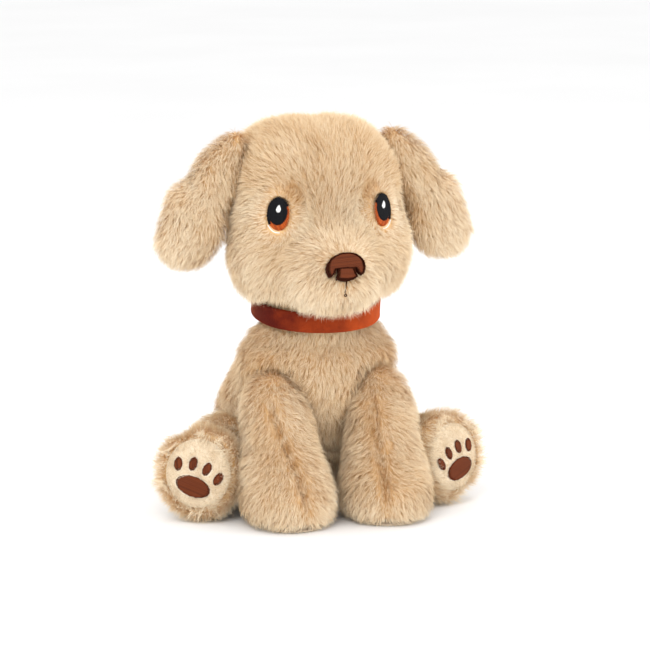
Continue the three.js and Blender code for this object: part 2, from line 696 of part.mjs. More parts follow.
buildTorso();
buildHead();
buildCollar();
buildNose();
buildMouth();
buildTail();
for (const [name, side] of Object.entries(SIDES)) {
  buildFrontLeg(name, side);
  buildHindLeg(name, side);
  buildEar(name, side);
  buildEye(name, side);
}

export default dog;
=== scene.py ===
"""A sitting plush puppy in long-pile fur fabric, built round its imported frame.

Each stuffed part is a sewn skin, puffed up by a cloth simulation, with a coat of separate strands on it.
The face and the foot pads are satin stitched, the collar is velvet and the soles are short-pile fabric.
Metres, +Z up. The puppy looks along -Y and its own left is +X.
"""

import logging
import math
from dataclasses import dataclass, field
from enum import Enum
from typing import Iterator, Sequence

import bpy
import numpy as np
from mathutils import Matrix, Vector
from mathutils.bvhtree import BVHTree


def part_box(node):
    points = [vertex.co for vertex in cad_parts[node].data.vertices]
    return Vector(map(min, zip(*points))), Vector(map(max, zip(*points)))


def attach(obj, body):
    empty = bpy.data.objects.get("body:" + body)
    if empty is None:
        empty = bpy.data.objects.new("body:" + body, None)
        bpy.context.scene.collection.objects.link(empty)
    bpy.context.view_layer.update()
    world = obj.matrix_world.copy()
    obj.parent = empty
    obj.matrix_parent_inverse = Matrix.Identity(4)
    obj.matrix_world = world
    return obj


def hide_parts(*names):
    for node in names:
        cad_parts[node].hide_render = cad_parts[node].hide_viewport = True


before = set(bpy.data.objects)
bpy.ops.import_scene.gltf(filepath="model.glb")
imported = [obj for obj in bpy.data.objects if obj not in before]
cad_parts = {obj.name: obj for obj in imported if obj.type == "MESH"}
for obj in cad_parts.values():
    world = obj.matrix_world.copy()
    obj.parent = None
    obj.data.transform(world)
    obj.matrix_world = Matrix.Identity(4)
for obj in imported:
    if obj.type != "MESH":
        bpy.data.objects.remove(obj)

LOG = logging.getLogger("puppy")
MM = 0.001
UP = np.array((0.0, 0.0, 1.0))
FAR = 24 * MM  # no field looks further than this
STRAND_MAP = "OFBake"  # the coat's own map: tone of a strand across, root to tip upwards
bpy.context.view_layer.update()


class Side(Enum):
    """The puppy's own left and right."""

    LEFT = 1
    RIGHT = -1

    @property
    def word(self) -> str:
        """The side's name as the frame's nodes use it."""
        return self.name.lower()


# ---------------------------------------------------------------- numbers and fields


def unit(vectors: np.ndarray) -> np.ndarray:
    """Vectors scaled to length one; a zero vector stays zero."""
    length = np.linalg.norm(vectors, axis=-1, keepdims=True)
    return vectors / np.maximum(length, 1e-12)


def smooth(low: float, high: float, values: np.ndarray) -> np.ndarray:
    """A soft step from 0 at low to 1 at high."""
    t = np.clip((values - low) / (high - low), 0.0, 1.0)
    return t * t * (3.0 - 2.0 * t)


def tangent(vectors: np.ndarray, normals: np.ndarray) -> np.ndarray:
    """Vectors laid into the surface that has these normals, at length one."""
    along = (vectors * normals).sum(-1, keepdims=True)
    return unit(vectors - along * normals)


def wander(points: np.ndarray, reach: float, seed: int, waves: int = 6) -> np.ndarray:
    """A smooth random number from about -1 to 1 at each point.

    Args:
        points: places, one a row.
        reach: the distance over which the number changes, in metres.
        seed: chooses the pattern.
        waves: how many plane waves are added.

    Returns:
        One number for each point.
    """
    draw = np.random.default_rng(seed)
    total = np.zeros(len(points))
    for _ in range(waves):
        direction = unit(draw.normal(size=3))
        pitch = reach * draw.uniform(0.7, 1.6)
        total += np.sin(points @ direction * (2.0 * math.pi / pitch) + draw.uniform(0.0, 6.28))
    return total / math.sqrt(waves * 0.75)


def node_mesh(name: str) -> tuple[np.ndarray, list[tuple[int, ...]]]:
    """The vertices and faces of one node of the frame.

    Args:
        name: the node.

    Returns:
        Its points, one a row, and its faces as tuples of point numbers.
    """
    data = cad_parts[name].data
    points = np.zeros(len(data.vertices) * 3)
    data.vertices.foreach_get("co", points)
    return points.reshape(-1, 3), [tuple(face.vertices) for face in data.polygons]


def node_points(*names: str) -> np.ndarray:
    """All the points of several nodes."""
    return np.concatenate([node_mesh(name)[0] for name in names])


def middle(name: str) -> np.ndarray:
    """The centre of a node's box."""
    low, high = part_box(name)
    return (np.array(low) + np.array(high)) / 2.0


class Near:
    """The surfaces of some nodes, which can say how far away they are."""

    def __init__(self, *names: str) -> None:
        """Puts the nodes' faces into trees."""
        self.trees = [BVHTree.FromPolygons(node_mesh(name)[0].tolist(), node_mesh(name)[1]) for name in names]

    def distance(self, points: np.ndarray) -> np.ndarray:
        """The distance from each point to the nearest surface, up to the reach of any field.

        Args:
            points: places, one a row.

        Returns:
            Distances in metres.
        """
        found = np.full(len(points), FAR)
        for tree in self.trees:
            find = tree.find_nearest
            for number, point in enumerate(points.tolist()):
                gap = find(point, found[number])[3]
                if gap is not None:
                    found[number] = gap
        return found

    def faces(self, points: np.ndarray, normals: np.ndarray) -> np.ndarray:
        """Which points have a surface right above or below them.

        Args:
            points: places, one a row.
            normals: the outward directions there.

        Returns:
            True where there is one.
        """
        found = np.zeros(len(points), bool)
        for number in np.nonzero(self.distance(points) < 6 * MM)[0]:
            start, ahead = Vector(points[number]), Vector(normals[number])
            for tree in self.trees:
                for way in (ahead, -ahead):
                    if tree.ray_cast(start, way, 5 * MM)[0] is not None:
                        found[number] = True
        return found


def add_object(name: str, data: bpy.types.ID) -> bpy.types.Object:
    """A new object that holds this data, linked into the scene.

    Args:
        name: its name.
        data: what it holds.

    Returns:
        The object.
    """
    made = bpy.data.objects.new(name, data)
    bpy.context.scene.collection.objects.link(made)
    return made


def mesh_object(name: str, points: np.ndarray, faces: Sequence[Sequence[int]]) -> bpy.types.Object:
    """A new mesh object from points and faces.

    Args:
        name: its name.
        points: places, one a row.
        faces: faces as point numbers.

    Returns:
        The object.
    """
    data = bpy.data.meshes.new(name)
    data.from_pydata([tuple(p) for p in points], [], [tuple(f) for f in faces])
    data.update()
    return add_object(name, data)


def read_points(data: bpy.types.Mesh) -> np.ndarray:
    """A mesh's points, one a row.

    Args:
        data: the mesh.

    Returns:
        The points.
    """
    points = np.zeros(len(data.vertices) * 3)
    data.vertices.foreach_get("co", points)
    return points.reshape(-1, 3)


def write_points(data: bpy.types.Mesh, points: np.ndarray) -> None:
    """Moves a mesh's points."""
    data.vertices.foreach_set("co", np.asarray(points, np.float32).ravel())
    data.update()


def read_normals(data: bpy.types.Mesh) -> np.ndarray:
    """A mesh's point normals, one a row.

    Args:
        data: the mesh.

    Returns:
        Unit normals.
    """
    normals = np.zeros(len(data.vertices) * 3, np.float32)
    data.vertex_normals.foreach_get("vector", normals)
    return unit(normals.reshape(-1, 3).astype(float))


def read_triangles(data: bpy.types.Mesh) -> np.ndarray:
    """A mesh's faces cut into triangles, one a row.

    Args:
        data: the mesh.

    Returns:
        Point numbers, three a row.
    """
    data.calc_loop_triangles()
    corners = np.zeros(len(data.loop_triangles) * 3, np.int32)
    data.loop_triangles.foreach_get("vertices", corners)
    return corners.reshape(-1, 3)


def apply_modifiers(piece: bpy.types.Object) -> None:
    """Replaces a piece's mesh with the shape that its modifiers give.

    Args:
        piece: the piece.
    """
    graph = bpy.context.evaluated_depsgraph_get()
    shaped = bpy.data.meshes.new_from_object(piece.evaluated_get(graph))
    piece.modifiers.clear()
    old = piece.data
    piece.data = shaped
    shaped.name = piece.name
    bpy.data.meshes.remove(old)


def dress_piece(
    piece: bpy.types.Object, material: bpy.types.Material, body: str, slot: str, *nodes: str
) -> None:
    """Gives a piece its finish, its body and the nodes that it stands for.

    Args:
        piece: the piece.
        material: its finish.
        body: the body that it rides on.
        slot: not used.
        nodes: the nodes that it stands for, if any.
    """
    piece.data.materials.append(material)
    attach(piece, body)
    if nodes:
        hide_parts(*nodes)


# ---------------------------------------------------------------- finishes


def colour(red: int, green: int, blue: int) -> tuple[float, float, float, float]:
    """A colour given on the usual 0 to 255 scale, as the shaders' linear numbers.

    Args:
        red: from 0 to 255.
        green: from 0 to 255.
        blue: from 0 to 255.

    Returns:
        Red, green, blue and alpha.
    """
    values = []
    for part in (red, green, blue):
        share = part / 255.0
        values.append(share / 12.92 if share <= 0.04045 else ((share + 0.055) / 1.055) ** 2.4)
    return (values[0], values[1], values[2], 1.0)


class NodeSheet:
    """A material's node tree with its Principled shader, and short ways to add to it."""

    def __init__(self, name: str) -> None:
        """Starts an empty material with a Principled shader.

        Args:
            name: its name.
        """
        self.material = bpy.data.materials.new(name)
        self.material.use_nodes = True
        self.tree = self.material.node_tree
        self.shader = self.tree.nodes["Principled BSDF"]

    def node(self, kind: str, **settings: object) -> bpy.types.Node:
        """Adds a node and sets its properties.

        Args:
            kind: the node's type.
            settings: its properties by name.

        Returns:
            The node.
        """
        made = self.tree.nodes.new(kind)
        for key, value in settings.items():
            setattr(made, key, value)
        return made

    def link(self, source: bpy.types.NodeSocket, target: bpy.types.NodeSocket) -> None:
        """Joins two sockets."""
        self.tree.links.new(source, target)

    def constants(self, **values: float) -> None:
        """Sets plain values on the shader's own sockets; an underscore stands for a space."""
        for key, value in values.items():
            self.shader.inputs[key.replace("_", " ")].default_value = value

    def ramp(
        self, source: bpy.types.NodeSocket, stops: Sequence[tuple[float, tuple]]
    ) -> bpy.types.NodeSocket:
        """A colour ramp over a number.

        Args:
            source: the number.
            stops: positions and colours.

        Returns:
            The ramp's colour.
        """
        made = self.node("ShaderNodeValToRGB")
        elements = made.color_ramp.elements
        while len(elements) < len(stops):
            elements.new(0.5)
        for element, (place, shade) in zip(elements, stops):
            element.position = place
            element.color = shade
        self.link(source, made.inputs["Fac"])
        return made.outputs["Color"]

    def noise(self, scale: float, detail: float = 3.0, roughness: float = 0.5) -> bpy.types.NodeSocket:
        """A noise number over the piece's own coordinates.

        Args:
            scale: the noise's scale.
            detail: its detail.
            roughness: its roughness.

        Returns:
            The noise's number.
        """
        place = self.node("ShaderNodeTexCoord")
        made = self.node("ShaderNodeTexNoise")
        made.inputs["Scale"].default_value = scale
        made.inputs["Detail"].default_value = detail
        made.inputs["Roughness"].default_value = roughness
        self.link(place.outputs["Object"], made.inputs["Vector"])
        return made.outputs["Fac"]

    def mix(
        self,
        share: bpy.types.NodeSocket | float,
        first: bpy.types.NodeSocket | tuple,
        second: bpy.types.NodeSocket | tuple,
        blend: str = "MIX",
    ) -> bpy.types.NodeSocket:
        """Mixes two colours.

        Args:
            share: how much of the second.
            first: a colour or a socket.
            second: a colour or a socket.
            blend: the way that they are mixed.

        Returns:
            The mixed colour.
        """
        made = self.node("ShaderNodeMix", data_type="RGBA", blend_type=blend)
        for socket, value in ((made.inputs[0], share), (made.inputs[6], first), (made.inputs[7], second)):
            if isinstance(value, bpy.types.NodeSocket):
                self.link(value, socket)
            else:
                socket.default_value = value
        return made.outputs[2]

    def spread(self, source: bpy.types.NodeSocket, low: float, high: float) -> bpy.types.NodeSocket:
        """A 0 to 1 number spread from low to high.

        Args:
            source: the number.
            low: what 0 becomes.
            high: what 1 becomes.

        Returns:
            The spread number.
        """
        made = self.node("ShaderNodeMapRange")
        made.inputs["To Min"].default_value = low
        made.inputs["To Max"].default_value = high
        self.link(source, made.inputs["Value"])
        return made.outputs["Result"]

    def bump(self, height: bpy.types.NodeSocket, strength: float, distance: float) -> None:
        """Gives the shader a bump from a height number.

        Args:
            height: the height number.
            strength: the bump's strength.
            distance: its depth, in metres.
        """
        made = self.node("ShaderNodeBump")
        made.inputs["Strength"].default_value = strength
        made.inputs["Distance"].default_value = distance
        self.link(height, made.inputs["Height"])
        self.link(made.outputs["Normal"], self.shader.inputs["Normal"])


@dataclass(frozen=True)
class FurFinish:
    """Strands lighter or deeper from strand to strand, darkened towards the root as painted shade deep in the
    pile.
    """

    name: str
    # The darkest stop: the tone mostly reaches it where painted shade is laid into creases and part lines.
    dark: tuple = colour(166, 112, 58)
    deep: tuple = colour(206, 158, 98)
    body: tuple = colour(236, 211, 173)
    pale: tuple = colour(254, 241, 216)
    # Painted shade deep in the pile: each strand's lower part is multiplied by this colour, most at the root.
    painted_root_shade: tuple = colour(228, 196, 150)

    def material(self) -> bpy.types.Material:
        """Builds the material over the coat's own map.

        Returns:
            The material.
        """
        sheet = NodeSheet(self.name)
        place = sheet.node("ShaderNodeUVMap", uv_map=STRAND_MAP)
        split = sheet.node("ShaderNodeSeparateXYZ")
        sheet.link(place.outputs["UV"], split.inputs[0])
        stops = [(0.0, self.dark), (0.2, self.deep), (0.55, self.body), (1.0, self.pale)]
        tone = sheet.ramp(split.outputs["X"], stops)
        # Painted shade deep in the pile, fading out by six tenths of the way to the tip.
        shade = sheet.ramp(split.outputs["Y"], [(0.0, self.painted_root_shade), (0.6, (1.0, 1.0, 1.0, 1.0))])
        sheet.link(sheet.mix(1.0, tone, shade, "MULTIPLY"), sheet.shader.inputs["Base Color"])
        sheet.link(sheet.spread(split.outputs["Y"], 0.95, 0.7), sheet.shader.inputs["Roughness"])
        sheet.constants(Sheen_Weight=0.35, Sheen_Roughness=0.5, Specular_IOR_Level=0.25)
        sheet.shader.inputs["Sheen Tint"].default_value = colour(255, 238, 210)
        return sheet.material


@dataclass(frozen=True)
class ClothFinish:
    """Mottled cloth with a fine bump: the coat's knitted ground, and the rubbed pile of the soles."""

    name: str
    dark: tuple
    light: tuple
    mottle: tuple[float, float, float]  # the mottling's scale, detail and roughness
    stops: tuple[float, float]  # where the mottling is all dark and all light
    grain: float  # the bump's scale
    rise: float  # the bump's strength
    sheen: float

    def material(self) -> bpy.types.Material:
        """Builds the material: mottled colour with a fine bump.

        Returns:
            The material.
        """
        sheet = NodeSheet(self.name)
        patches = sheet.noise(*self.mottle)
        colours = sheet.ramp(patches, list(zip(self.stops, (self.dark, self.light))))
        sheet.link(colours, sheet.shader.inputs["Base Color"])
        sheet.bump(sheet.noise(self.grain, 2.0), self.rise, 0.0004)
        sheet.link(sheet.spread(patches, 0.85, 1.0), sheet.shader.inputs["Roughness"])
        sheet.constants(Sheen_Weight=self.sheen, Specular_IOR_Level=0.2)
        return sheet.material


@dataclass(frozen=True)
class ThreadFinish:
    """Rayon embroidery thread: a soft gloss, and a little lighter or darker from stitch to stitch."""

    name: str
    dark: tuple
    light: tuple
    roughness: float = 0.5
    gloss: float = 0.4
    sheen: float = 0.15

    def material(self) -> bpy.types.Material:
        """Builds the material over the stitches' own shade numbers.

        Returns:
            The material.
        """
        sheet = NodeSheet(self.name)
        shade = sheet.node("ShaderNodeAttribute", attribute_name="shade")
        ply = sheet.noise(2600.0, 2.0)
        blended = sheet.node("ShaderNodeMath", operation="MULTIPLY_ADD")
        sheet.link(ply, blended.inputs[0])
        blended.inputs[1].default_value = 0.35
        sheet.link(shade.outputs["Fac"], blended.inputs[2])
        tone = sheet.ramp(blended.outputs[0], [(0.1, self.dark), (1.1 / 1.35, self.light)])
        sheet.link(tone, sheet.shader.inputs["Base Color"])
        sheet.bump(ply, 0.3, 0.0002)
        worn = sheet.spread(ply, self.roughness - 0.08, self.roughness + 0.12)
        sheet.link(worn, sheet.shader.inputs["Roughness"])
        sheet.constants(Sheen_Weight=self.sheen, Specular_IOR_Level=self.gloss, Anisotropic=0.4)
        return sheet.material


@dataclass(frozen=True)
class VelvetFinish:
    """Cut velvet: deep where it faces the eye, glowing where it turns away, with brushed patches and a
    painted sheen that lightens it towards +X.
    """

    name: str
    dark: tuple
    light: tuple
    sheen: tuple
    stroke: float = 10.0  # how much lighter the velvet is painted towards +X: painted sheen

    def material(self) -> bpy.types.Material:
        """Builds the material: brushed patches over a painted sheen towards +X, fine pile bump and a strong
        sheen.

        Returns:
            The material.
        """
        sheet = NodeSheet(self.name)
        brushed = sheet.noise(55.0, 5.0, 0.6)
        specks = sheet.noise(1800.0, 2.0)
        place = sheet.node("ShaderNodeTexCoord")
        split = sheet.node("ShaderNodeSeparateXYZ")
        sheet.link(place.outputs["Object"], split.inputs[0])
        # Painted sheen: the velvet is lighter towards +X, the puppy's left, with the brushed patches laid
        # over it.
        stroke = sheet.node("ShaderNodeMath", operation="MULTIPLY_ADD")
        sheet.link(split.outputs["X"], stroke.inputs[0])
        stroke.inputs[1].default_value = self.stroke
        sheet.link(brushed, stroke.inputs[2])
        patches = sheet.ramp(stroke.outputs[0], [(0.15, self.dark), (0.9, self.light)])
        specked = sheet.ramp(specks, [(0.45, (0.8, 0.8, 0.8, 1.0)), (0.75, (1.0, 1.0, 1.0, 1.0))])
        sheet.link(sheet.mix(1.0, patches, specked, "MULTIPLY"), sheet.shader.inputs["Base Color"])
        sheet.bump(specks, 0.5, 0.0003)
        sheet.link(sheet.spread(brushed, 0.75, 0.95), sheet.shader.inputs["Roughness"])
        sheet.constants(Sheen_Weight=0.5, Sheen_Roughness=0.35, Specular_IOR_Level=0.15)
        sheet.shader.inputs["Sheen Tint"].default_value = self.sheen
        return sheet.material


class Finishes:
    """Every finish of the puppy, each made once."""

    def __init__(self) -> None:
        """Makes all the materials."""
        self.fur = FurFinish("fur_strands").material()
        # The backing is a deeper golden than the strands: painted shade for the gaps between them.
        ground_and_gap_shade = colour(222, 182, 128), colour(240, 208, 160)
        knit = ClothFinish("fur_backing", *ground_and_gap_shade, (260.0, 4.0, 0.5), (0.35, 0.7), 1500.0, 0.6, 0.3)
        self.backing = knit.material()
        cream = colour(214, 192, 160), colour(246, 232, 208)
        plush = ClothFinish("sole_pile", *cream, (120.0, 5.0, 0.6), (0.3, 0.65), 1600.0, 0.7, 0.4)
        self.pile = plush.material()
        # The nap's last colour is its painted root shade.
        self.nap = FurFinish(
            "sole_strands",
            colour(204, 180, 148),
            colour(220, 198, 168),
            colour(240, 224, 198),
            colour(250, 240, 222),
            colour(238, 222, 198),
        ).material()
        self.black = self.thread("black_thread", (3, 3, 5), (20, 20, 24), 0.6, 0.16, 0.0)
        self.amber = self.thread("amber_thread", (124, 46, 10), (188, 86, 26), 0.55, 0.25, 0.0)
        self.white = self.thread("white_thread", (205, 205, 205), (250, 250, 248))
        self.brown = self.thread("brown_thread", (62, 24, 8), (118, 56, 26), 0.6, 0.2, 0.0)
        self.edge = self.thread("edge_thread", (26, 8, 3), (62, 24, 10), 0.7, 0.06, 0.0)
        self.pad_edge = self.thread("pad_edge_thread", (58, 18, 6), (104, 44, 18), 0.7, 0.06, 0.0)
        # The light colour is reached mostly on the +X side, through the painted sheen.
        self.velvet = VelvetFinish(
            "rust_velvet", colour(88, 16, 4), colour(200, 80, 28), colour(255, 130, 60)
        ).material()

    @staticmethod
    def thread(
        name: str,
        dark: tuple[int, int, int],
        light: tuple[int, int, int],
        roughness: float = 0.5,
        gloss: float = 0.4,
        sheen: float = 0.15,
    ) -> bpy.types.Material:
        """An embroidery thread's material from its two colours on the 0 to 255 scale."""
        return ThreadFinish(name, colour(*dark), colour(*light), roughness, gloss, sheen).material()


# ---------------------------------------------------------------- sewn skins


@dataclass
class Pile:
    """How the coat of one part is set: its density, length and lean."""

    density: float = 3.2  # strands on a square millimetre
    length: float = 8.6 * MM
    width: float = 0.25 * MM
    root_lean: float = 58.0  # degrees up from the skin at the root
    tip_lean: float = 22.0
    tuft: float = 1.7 * MM  # distance between tufts
    pull: float = 0.21  # how far a tip goes towards the middle of its tuft
    unruly: float = 11.0  # degrees that a strand strays sideways
    sway: float = 14.0  # degrees that a whole patch strays


@dataclass(frozen=True)
class Stuffing:
    """How the cloth behaves while the stuffing pushes it out."""

    quality: int = 5
    mass: float = 0.2
    pressure: float = 4.0
    pinning: float = 1.0
    tension: float = 12.0
    bending: float = 0.4
    frames: int = 20


@dataclass
class Skin:
    """A part's sewn skin as numbers, for setting its coat."""

    points: np.ndarray
    normals: np.ndarray
    triangles: np.ndarray
    clearance: np.ndarray = field(default_factory=lambda: np.zeros(0))


class StuffedPart:
    """One stuffed part: a puffed skin made from its frame nodes, and a coat of strands."""

    name: str = ""
    body: str = ""
    nodes: tuple[str, ...] = ()
    flat: tuple[str, ...] = ()  # embroidery and soles that the skin stays level with
    neighbours: tuple[str, ...] = ()  # nodes that this part is sewn up against
    seed: int = 1
    fill: float = 0.8
    pile: Pile = Pile()
    sink: float = 2.6 * MM  # how far the skin lies inside the frame's form
    under_trim: float = 1.6 * MM  # how far it lies under flat trim
    puff: float = 1.6 * MM  # the most that the stuffing may push it out
    voxel: float = 3.6 * MM
    bald: float = 1.2 * MM  # no strand starts nearer than this to flat trim
    stuffing: Stuffing = Stuffing()

    def __init__(self) -> None:
        """Notes where the flat trim is."""
        self.trim = Near(*self.flat)
        self.beside = Near(*self.neighbours)
        self.piece: bpy.types.Object | None = None
        self.skin: Skin | None = None

    # Fields that each part sets for itself.

    def flow(self, points: np.ndarray, normals: np.ndarray) -> np.ndarray:
        """The way that the coat is combed, before it is laid into the skin."""
        return np.tile(-UP, (len(points), 1))

    def length(self, points: np.ndarray, normals: np.ndarray) -> np.ndarray:
        """The coat's length as a share of the pile's."""
        return np.ones(len(points))

    def tone(self, points: np.ndarray, normals: np.ndarray) -> np.ndarray:
        """How light the coat is, from 0 to 1."""
        return np.full(len(points), 0.6)

    def groove(self, points: np.ndarray, normals: np.ndarray) -> np.ndarray:
        """How deep seams draw the skin in, in metres."""
        return np.zeros(len(points))

    def held(self, points: np.ndarray, normals: np.ndarray) -> np.ndarray:
        """Where seams and trim hold the skin against the stuffing, from 0 to 1."""
        return 1.0 - smooth(2 * MM, 9 * MM, self.trim.distance(points))

    def depth(self, points: np.ndarray, normals: np.ndarray) -> np.ndarray:
        """How far the skin lies inside the frame's form.

        Args:
            points: places, one a row.
            normals: the outward directions there.

        Returns:
            Depths in metres.
        """
        near_trim = smooth(2.0 * MM, 12 * MM, self.trim.distance(points))
        joined = 0.25 + 0.75 * smooth(1.0 * MM, 9 * MM, self.beside.distance(points))
        on_ground = smooth(0.5 * MM, 7 * MM, points[:, 2]) + smooth(-0.8, -0.3, normals[:, 2])
        sunk = self.sink * joined * np.clip(on_ground, 0.08, 1.0)
        return self.under_trim * (1.0 - near_trim) + sunk * near_trim

    def drift(self, points: np.ndarray, normals: np.ndarray) -> np.ndarray:
        """Where the sewing draws the whole skin, as offsets."""
        return np.zeros_like(points)

    # The skin.

    def sew(self) -> None:
        """Makes the skin: the nodes' outer form, sunk, stuffed, and drawn in at its seams."""
        points, faces, start = [], [], 0
        for name in self.nodes:
            own, own_faces = node_mesh(name)
            points.append(own)
            faces += [tuple(corner + start for corner in face) for face in own_faces]
            start += len(own)
        piece = mesh_object(self.name, np.concatenate(points), faces)
        remesh = piece.modifiers.new("form", "REMESH")
        remesh.mode = "VOXEL"
        remesh.voxel_size = self.voxel
        ease = piece.modifiers.new("ease", "SMOOTH")
        ease.iterations = 4
        apply_modifiers(piece)
        self.keep_outside(piece.data)
        shape, normals = read_points(piece.data), read_normals(piece.data)
        sunk = shape - normals * self.depth(shape, normals)[:, None]
        write_points(piece.data, sunk + self.drift(shape, normals))
        settle = piece.modifiers.new("settle", "SMOOTH")
        settle.iterations = 3
        apply_modifiers(piece)
        self.stuff(piece)
        finer = piece.modifiers.new("finer", "SUBSURF")
        finer.levels = 1
        finer.render_levels = 1
        apply_modifiers(piece)
        shape, normals = read_points(piece.data), read_normals(piece.data)
        shape = shape - normals * self.groove(shape, normals)[:, None]
        shape[:, 2] = np.maximum(shape[:, 2], 0.0)
        write_points(piece.data, shape)
        self.piece = piece
        self.skin = Skin(shape, read_normals(piece.data), read_triangles(piece.data))

    @staticmethod
    def keep_outside(data: bpy.types.Mesh) -> None:
        """Leaves only the largest closed sheet of a mesh.

        Args:
            data: the mesh.
        """
        count = len(data.vertices)
        edges = np.zeros(len(data.edges) * 2, np.int32)
        data.edges.foreach_get("vertices", edges)
        edges = edges.reshape(-1, 2)
        label = np.arange(count)
        while True:
            low = np.minimum(label[edges[:, 0]], label[edges[:, 1]])
            new = label.copy()
            np.minimum.at(new, edges[:, 0], low)
            np.minimum.at(new, edges[:, 1], low)
            new = new[new]
            if (new == label).all():
                break
            label = new
        names, sizes = np.unique(label, return_counts=True)
        if len(names) == 1:
            return
        keep = label == names[sizes.argmax()]
        faces = [tuple(face.vertices) for face in data.polygons if keep[face.vertices[0]]]
        number = np.cumsum(keep) - 1
        points = read_points(data)[keep]
        data.clear_geometry()
        data.from_pydata([tuple(p) for p in points], [], [tuple(int(number[c]) for c in f) for f in faces])
        data.update()

    def stuff(self, piece: bpy.types.Object) -> None:
        """Puffs the skin up as cloth under pressure, held at its seams and trim.

        Args:
            piece: the piece.
        """
        start = read_points(piece.data)
        normals = read_normals(piece.data)
        held = self.held(start, normals)
        group = piece.vertex_groups.new(name="held")
        for number in np.nonzero(held > 0.02)[0]:
            group.add([int(number)], float(held[number]), "REPLACE")
        cloth = piece.modifiers.new("cloth", "CLOTH")
        settings = cloth.settings
        settings.quality = self.stuffing.quality
        settings.mass = self.stuffing.mass
        settings.use_pressure = True
        settings.uniform_pressure_force = self.stuffing.pressure
        settings.vertex_group_mass = "held"
        settings.pin_stiffness = self.stuffing.pinning
        settings.tension_stiffness = self.stuffing.tension
        settings.bending_stiffness = self.stuffing.bending
        settings.effector_weights.gravity = 0.0
        cloth.point_cache.frame_start = 1
        cloth.point_cache.frame_end = self.stuffing.frames
        scene = bpy.context.scene
        for moment in range(1, self.stuffing.frames + 1):
            scene.frame_set(moment)
        apply_modifiers(piece)
        scene.frame_set(1)
        moved = read_points(piece.data) - start
        far = np.linalg.norm(moved, axis=1, keepdims=True)
        moved *= np.minimum(1.0, self.puff / np.maximum(far, 1e-9))
        write_points(piece.data, start + moved * (1.0 - held[:, None]))

    def dress(self, finishes: Finishes) -> None:
        """Gives the skin its finish, its body and the nodes that it stands for.

        Args:
            finishes: the puppy's finishes.
        """
        self.piece.data.materials.clear()
        self.piece.data.materials.append(finishes.backing)
        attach(self.piece, self.body)
        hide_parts(*self.nodes)

    # The coat.

    def grow(self, finishes: Finishes) -> None:
        """Sets the coat on the skin as one or more pieces of strands.

        Args:
            finishes: the puppy's finishes.
        """
        draw = np.random.default_rng(self.seed)
        roots, normals, clearance = self.scatter(draw)
        keep = (self.trim.distance(roots) > self.bald) & (clearance > 0.8 * MM)
        keep &= ~self.trim.faces(roots, normals)
        keep &= ~((normals[:, 2] < -0.75) & (roots[:, 2] < 2.5 * MM))
        roots, normals, clearance = roots[keep], normals[keep], clearance[keep]
        strands = self.comb(draw, roots, normals, clearance)
        for label, share in self.shares(roots):
            coat = strands.mesh(f"{self.name.replace('_skin', '')}_fur{label}", share)
            dress_piece(coat, finishes.fur, self.body, "fur")

    def shares(self, roots: np.ndarray) -> Iterator[tuple[str, np.ndarray]]:
        """How the coat is split into pieces: a label and the strands of each."""
        yield "", np.ones(len(roots), bool)

    def scatter(self, draw: np.random.Generator) -> tuple[np.ndarray, np.ndarray, np.ndarray]:
        """Random roots over the skin.

        Args:
            draw: the source of random numbers.

        Returns:
            The roots, the normals there and the free room above each.
        """
        skin = self.skin
        corners = skin.points[skin.triangles]
        sides = corners[:, 1] - corners[:, 0], corners[:, 2] - corners[:, 0]
        area = np.linalg.norm(np.cross(*sides), axis=1) / 2
        count = int(area.sum() / MM**2 * self.pile.density)
        chosen = np.searchsorted(np.cumsum(area) / area.sum(), draw.random(count))
        chosen = np.minimum(chosen, len(area) - 1)
        mixes = draw.random((count, 2))
        root = np.sqrt(mixes[:, :1])
        weights = np.concatenate([1 - root, root * (1 - mixes[:, 1:]), root * mixes[:, 1:]], 1)
        owners = skin.triangles[chosen]
        place = (skin.points[owners] * weights[:, :, None]).sum(1)
        normal = unit((skin.normals[owners] * weights[:, :, None]).sum(1))
        room = (skin.clearance[owners] * weights).sum(1)
        return place, normal, room

    def comb(
        self, draw: np.random.Generator, roots: np.ndarray, normals: np.ndarray, clearance: np.ndarray
    ) -> "Strands":
        """Lays the strands in the way of the coat, gathered into tufts.

        Args:
            draw: the source of random numbers.
            roots: where the strands start.
            normals: the skin's normals there.
            clearance: the free room above each root.

        Returns:
            The strands.
        """
        pile, count = self.pile, len(roots)
        way = tangent(self.flow(roots, normals), normals)
        across = np.cross(normals, way)
        tuft = Tufts(roots, pile.tuft, self.seed)
        stray = np.radians(
            pile.sway * wander(roots, 22 * MM, self.seed + 11)
            + 0.5 * pile.sway * wander(roots, 8 * MM, self.seed + 12)
            + 0.7 * pile.unruly * tuft.each(draw.normal(size=tuft.count))
            + pile.unruly * draw.normal(size=count)
        )
        way = way * np.cos(stray)[:, None] + across * np.sin(stray)[:, None]
        under = draw.random(count) < 0.3
        reach = pile.length * self.length(roots, normals) * draw.uniform(0.8, 1.12, count)
        reach *= tuft.each(draw.uniform(0.86, 1.1, tuft.count)) * np.where(under, 0.68, 1.0)
        reach = np.minimum(reach, np.maximum(clearance * 2.5, 4.5 * MM))
        lift = draw.normal(0.0, 6.0, count) + 4.0 * tuft.each(draw.normal(size=tuft.count))
        rise_low = np.radians(np.clip(pile.root_lean + lift, 15, 88))[:, None]
        rise_high = np.radians(np.clip(pile.tip_lean + lift, 4, 80))[:, None]
        half = 0.5 * reach[:, None]
        middles = roots + half * (normals * np.sin(rise_low) + way * np.cos(rise_low))
        tips = middles + half * (normals * np.sin(rise_high) + way * np.cos(rise_high))
        gather = tuft.centres(roots) - roots
        gather -= (gather * normals).sum(1, keepdims=True) * normals
        tips += pile.pull * gather
        middles += 0.35 * pile.pull * gather
        tips[:, 2] = np.maximum(tips[:, 2], 0.35 * MM)
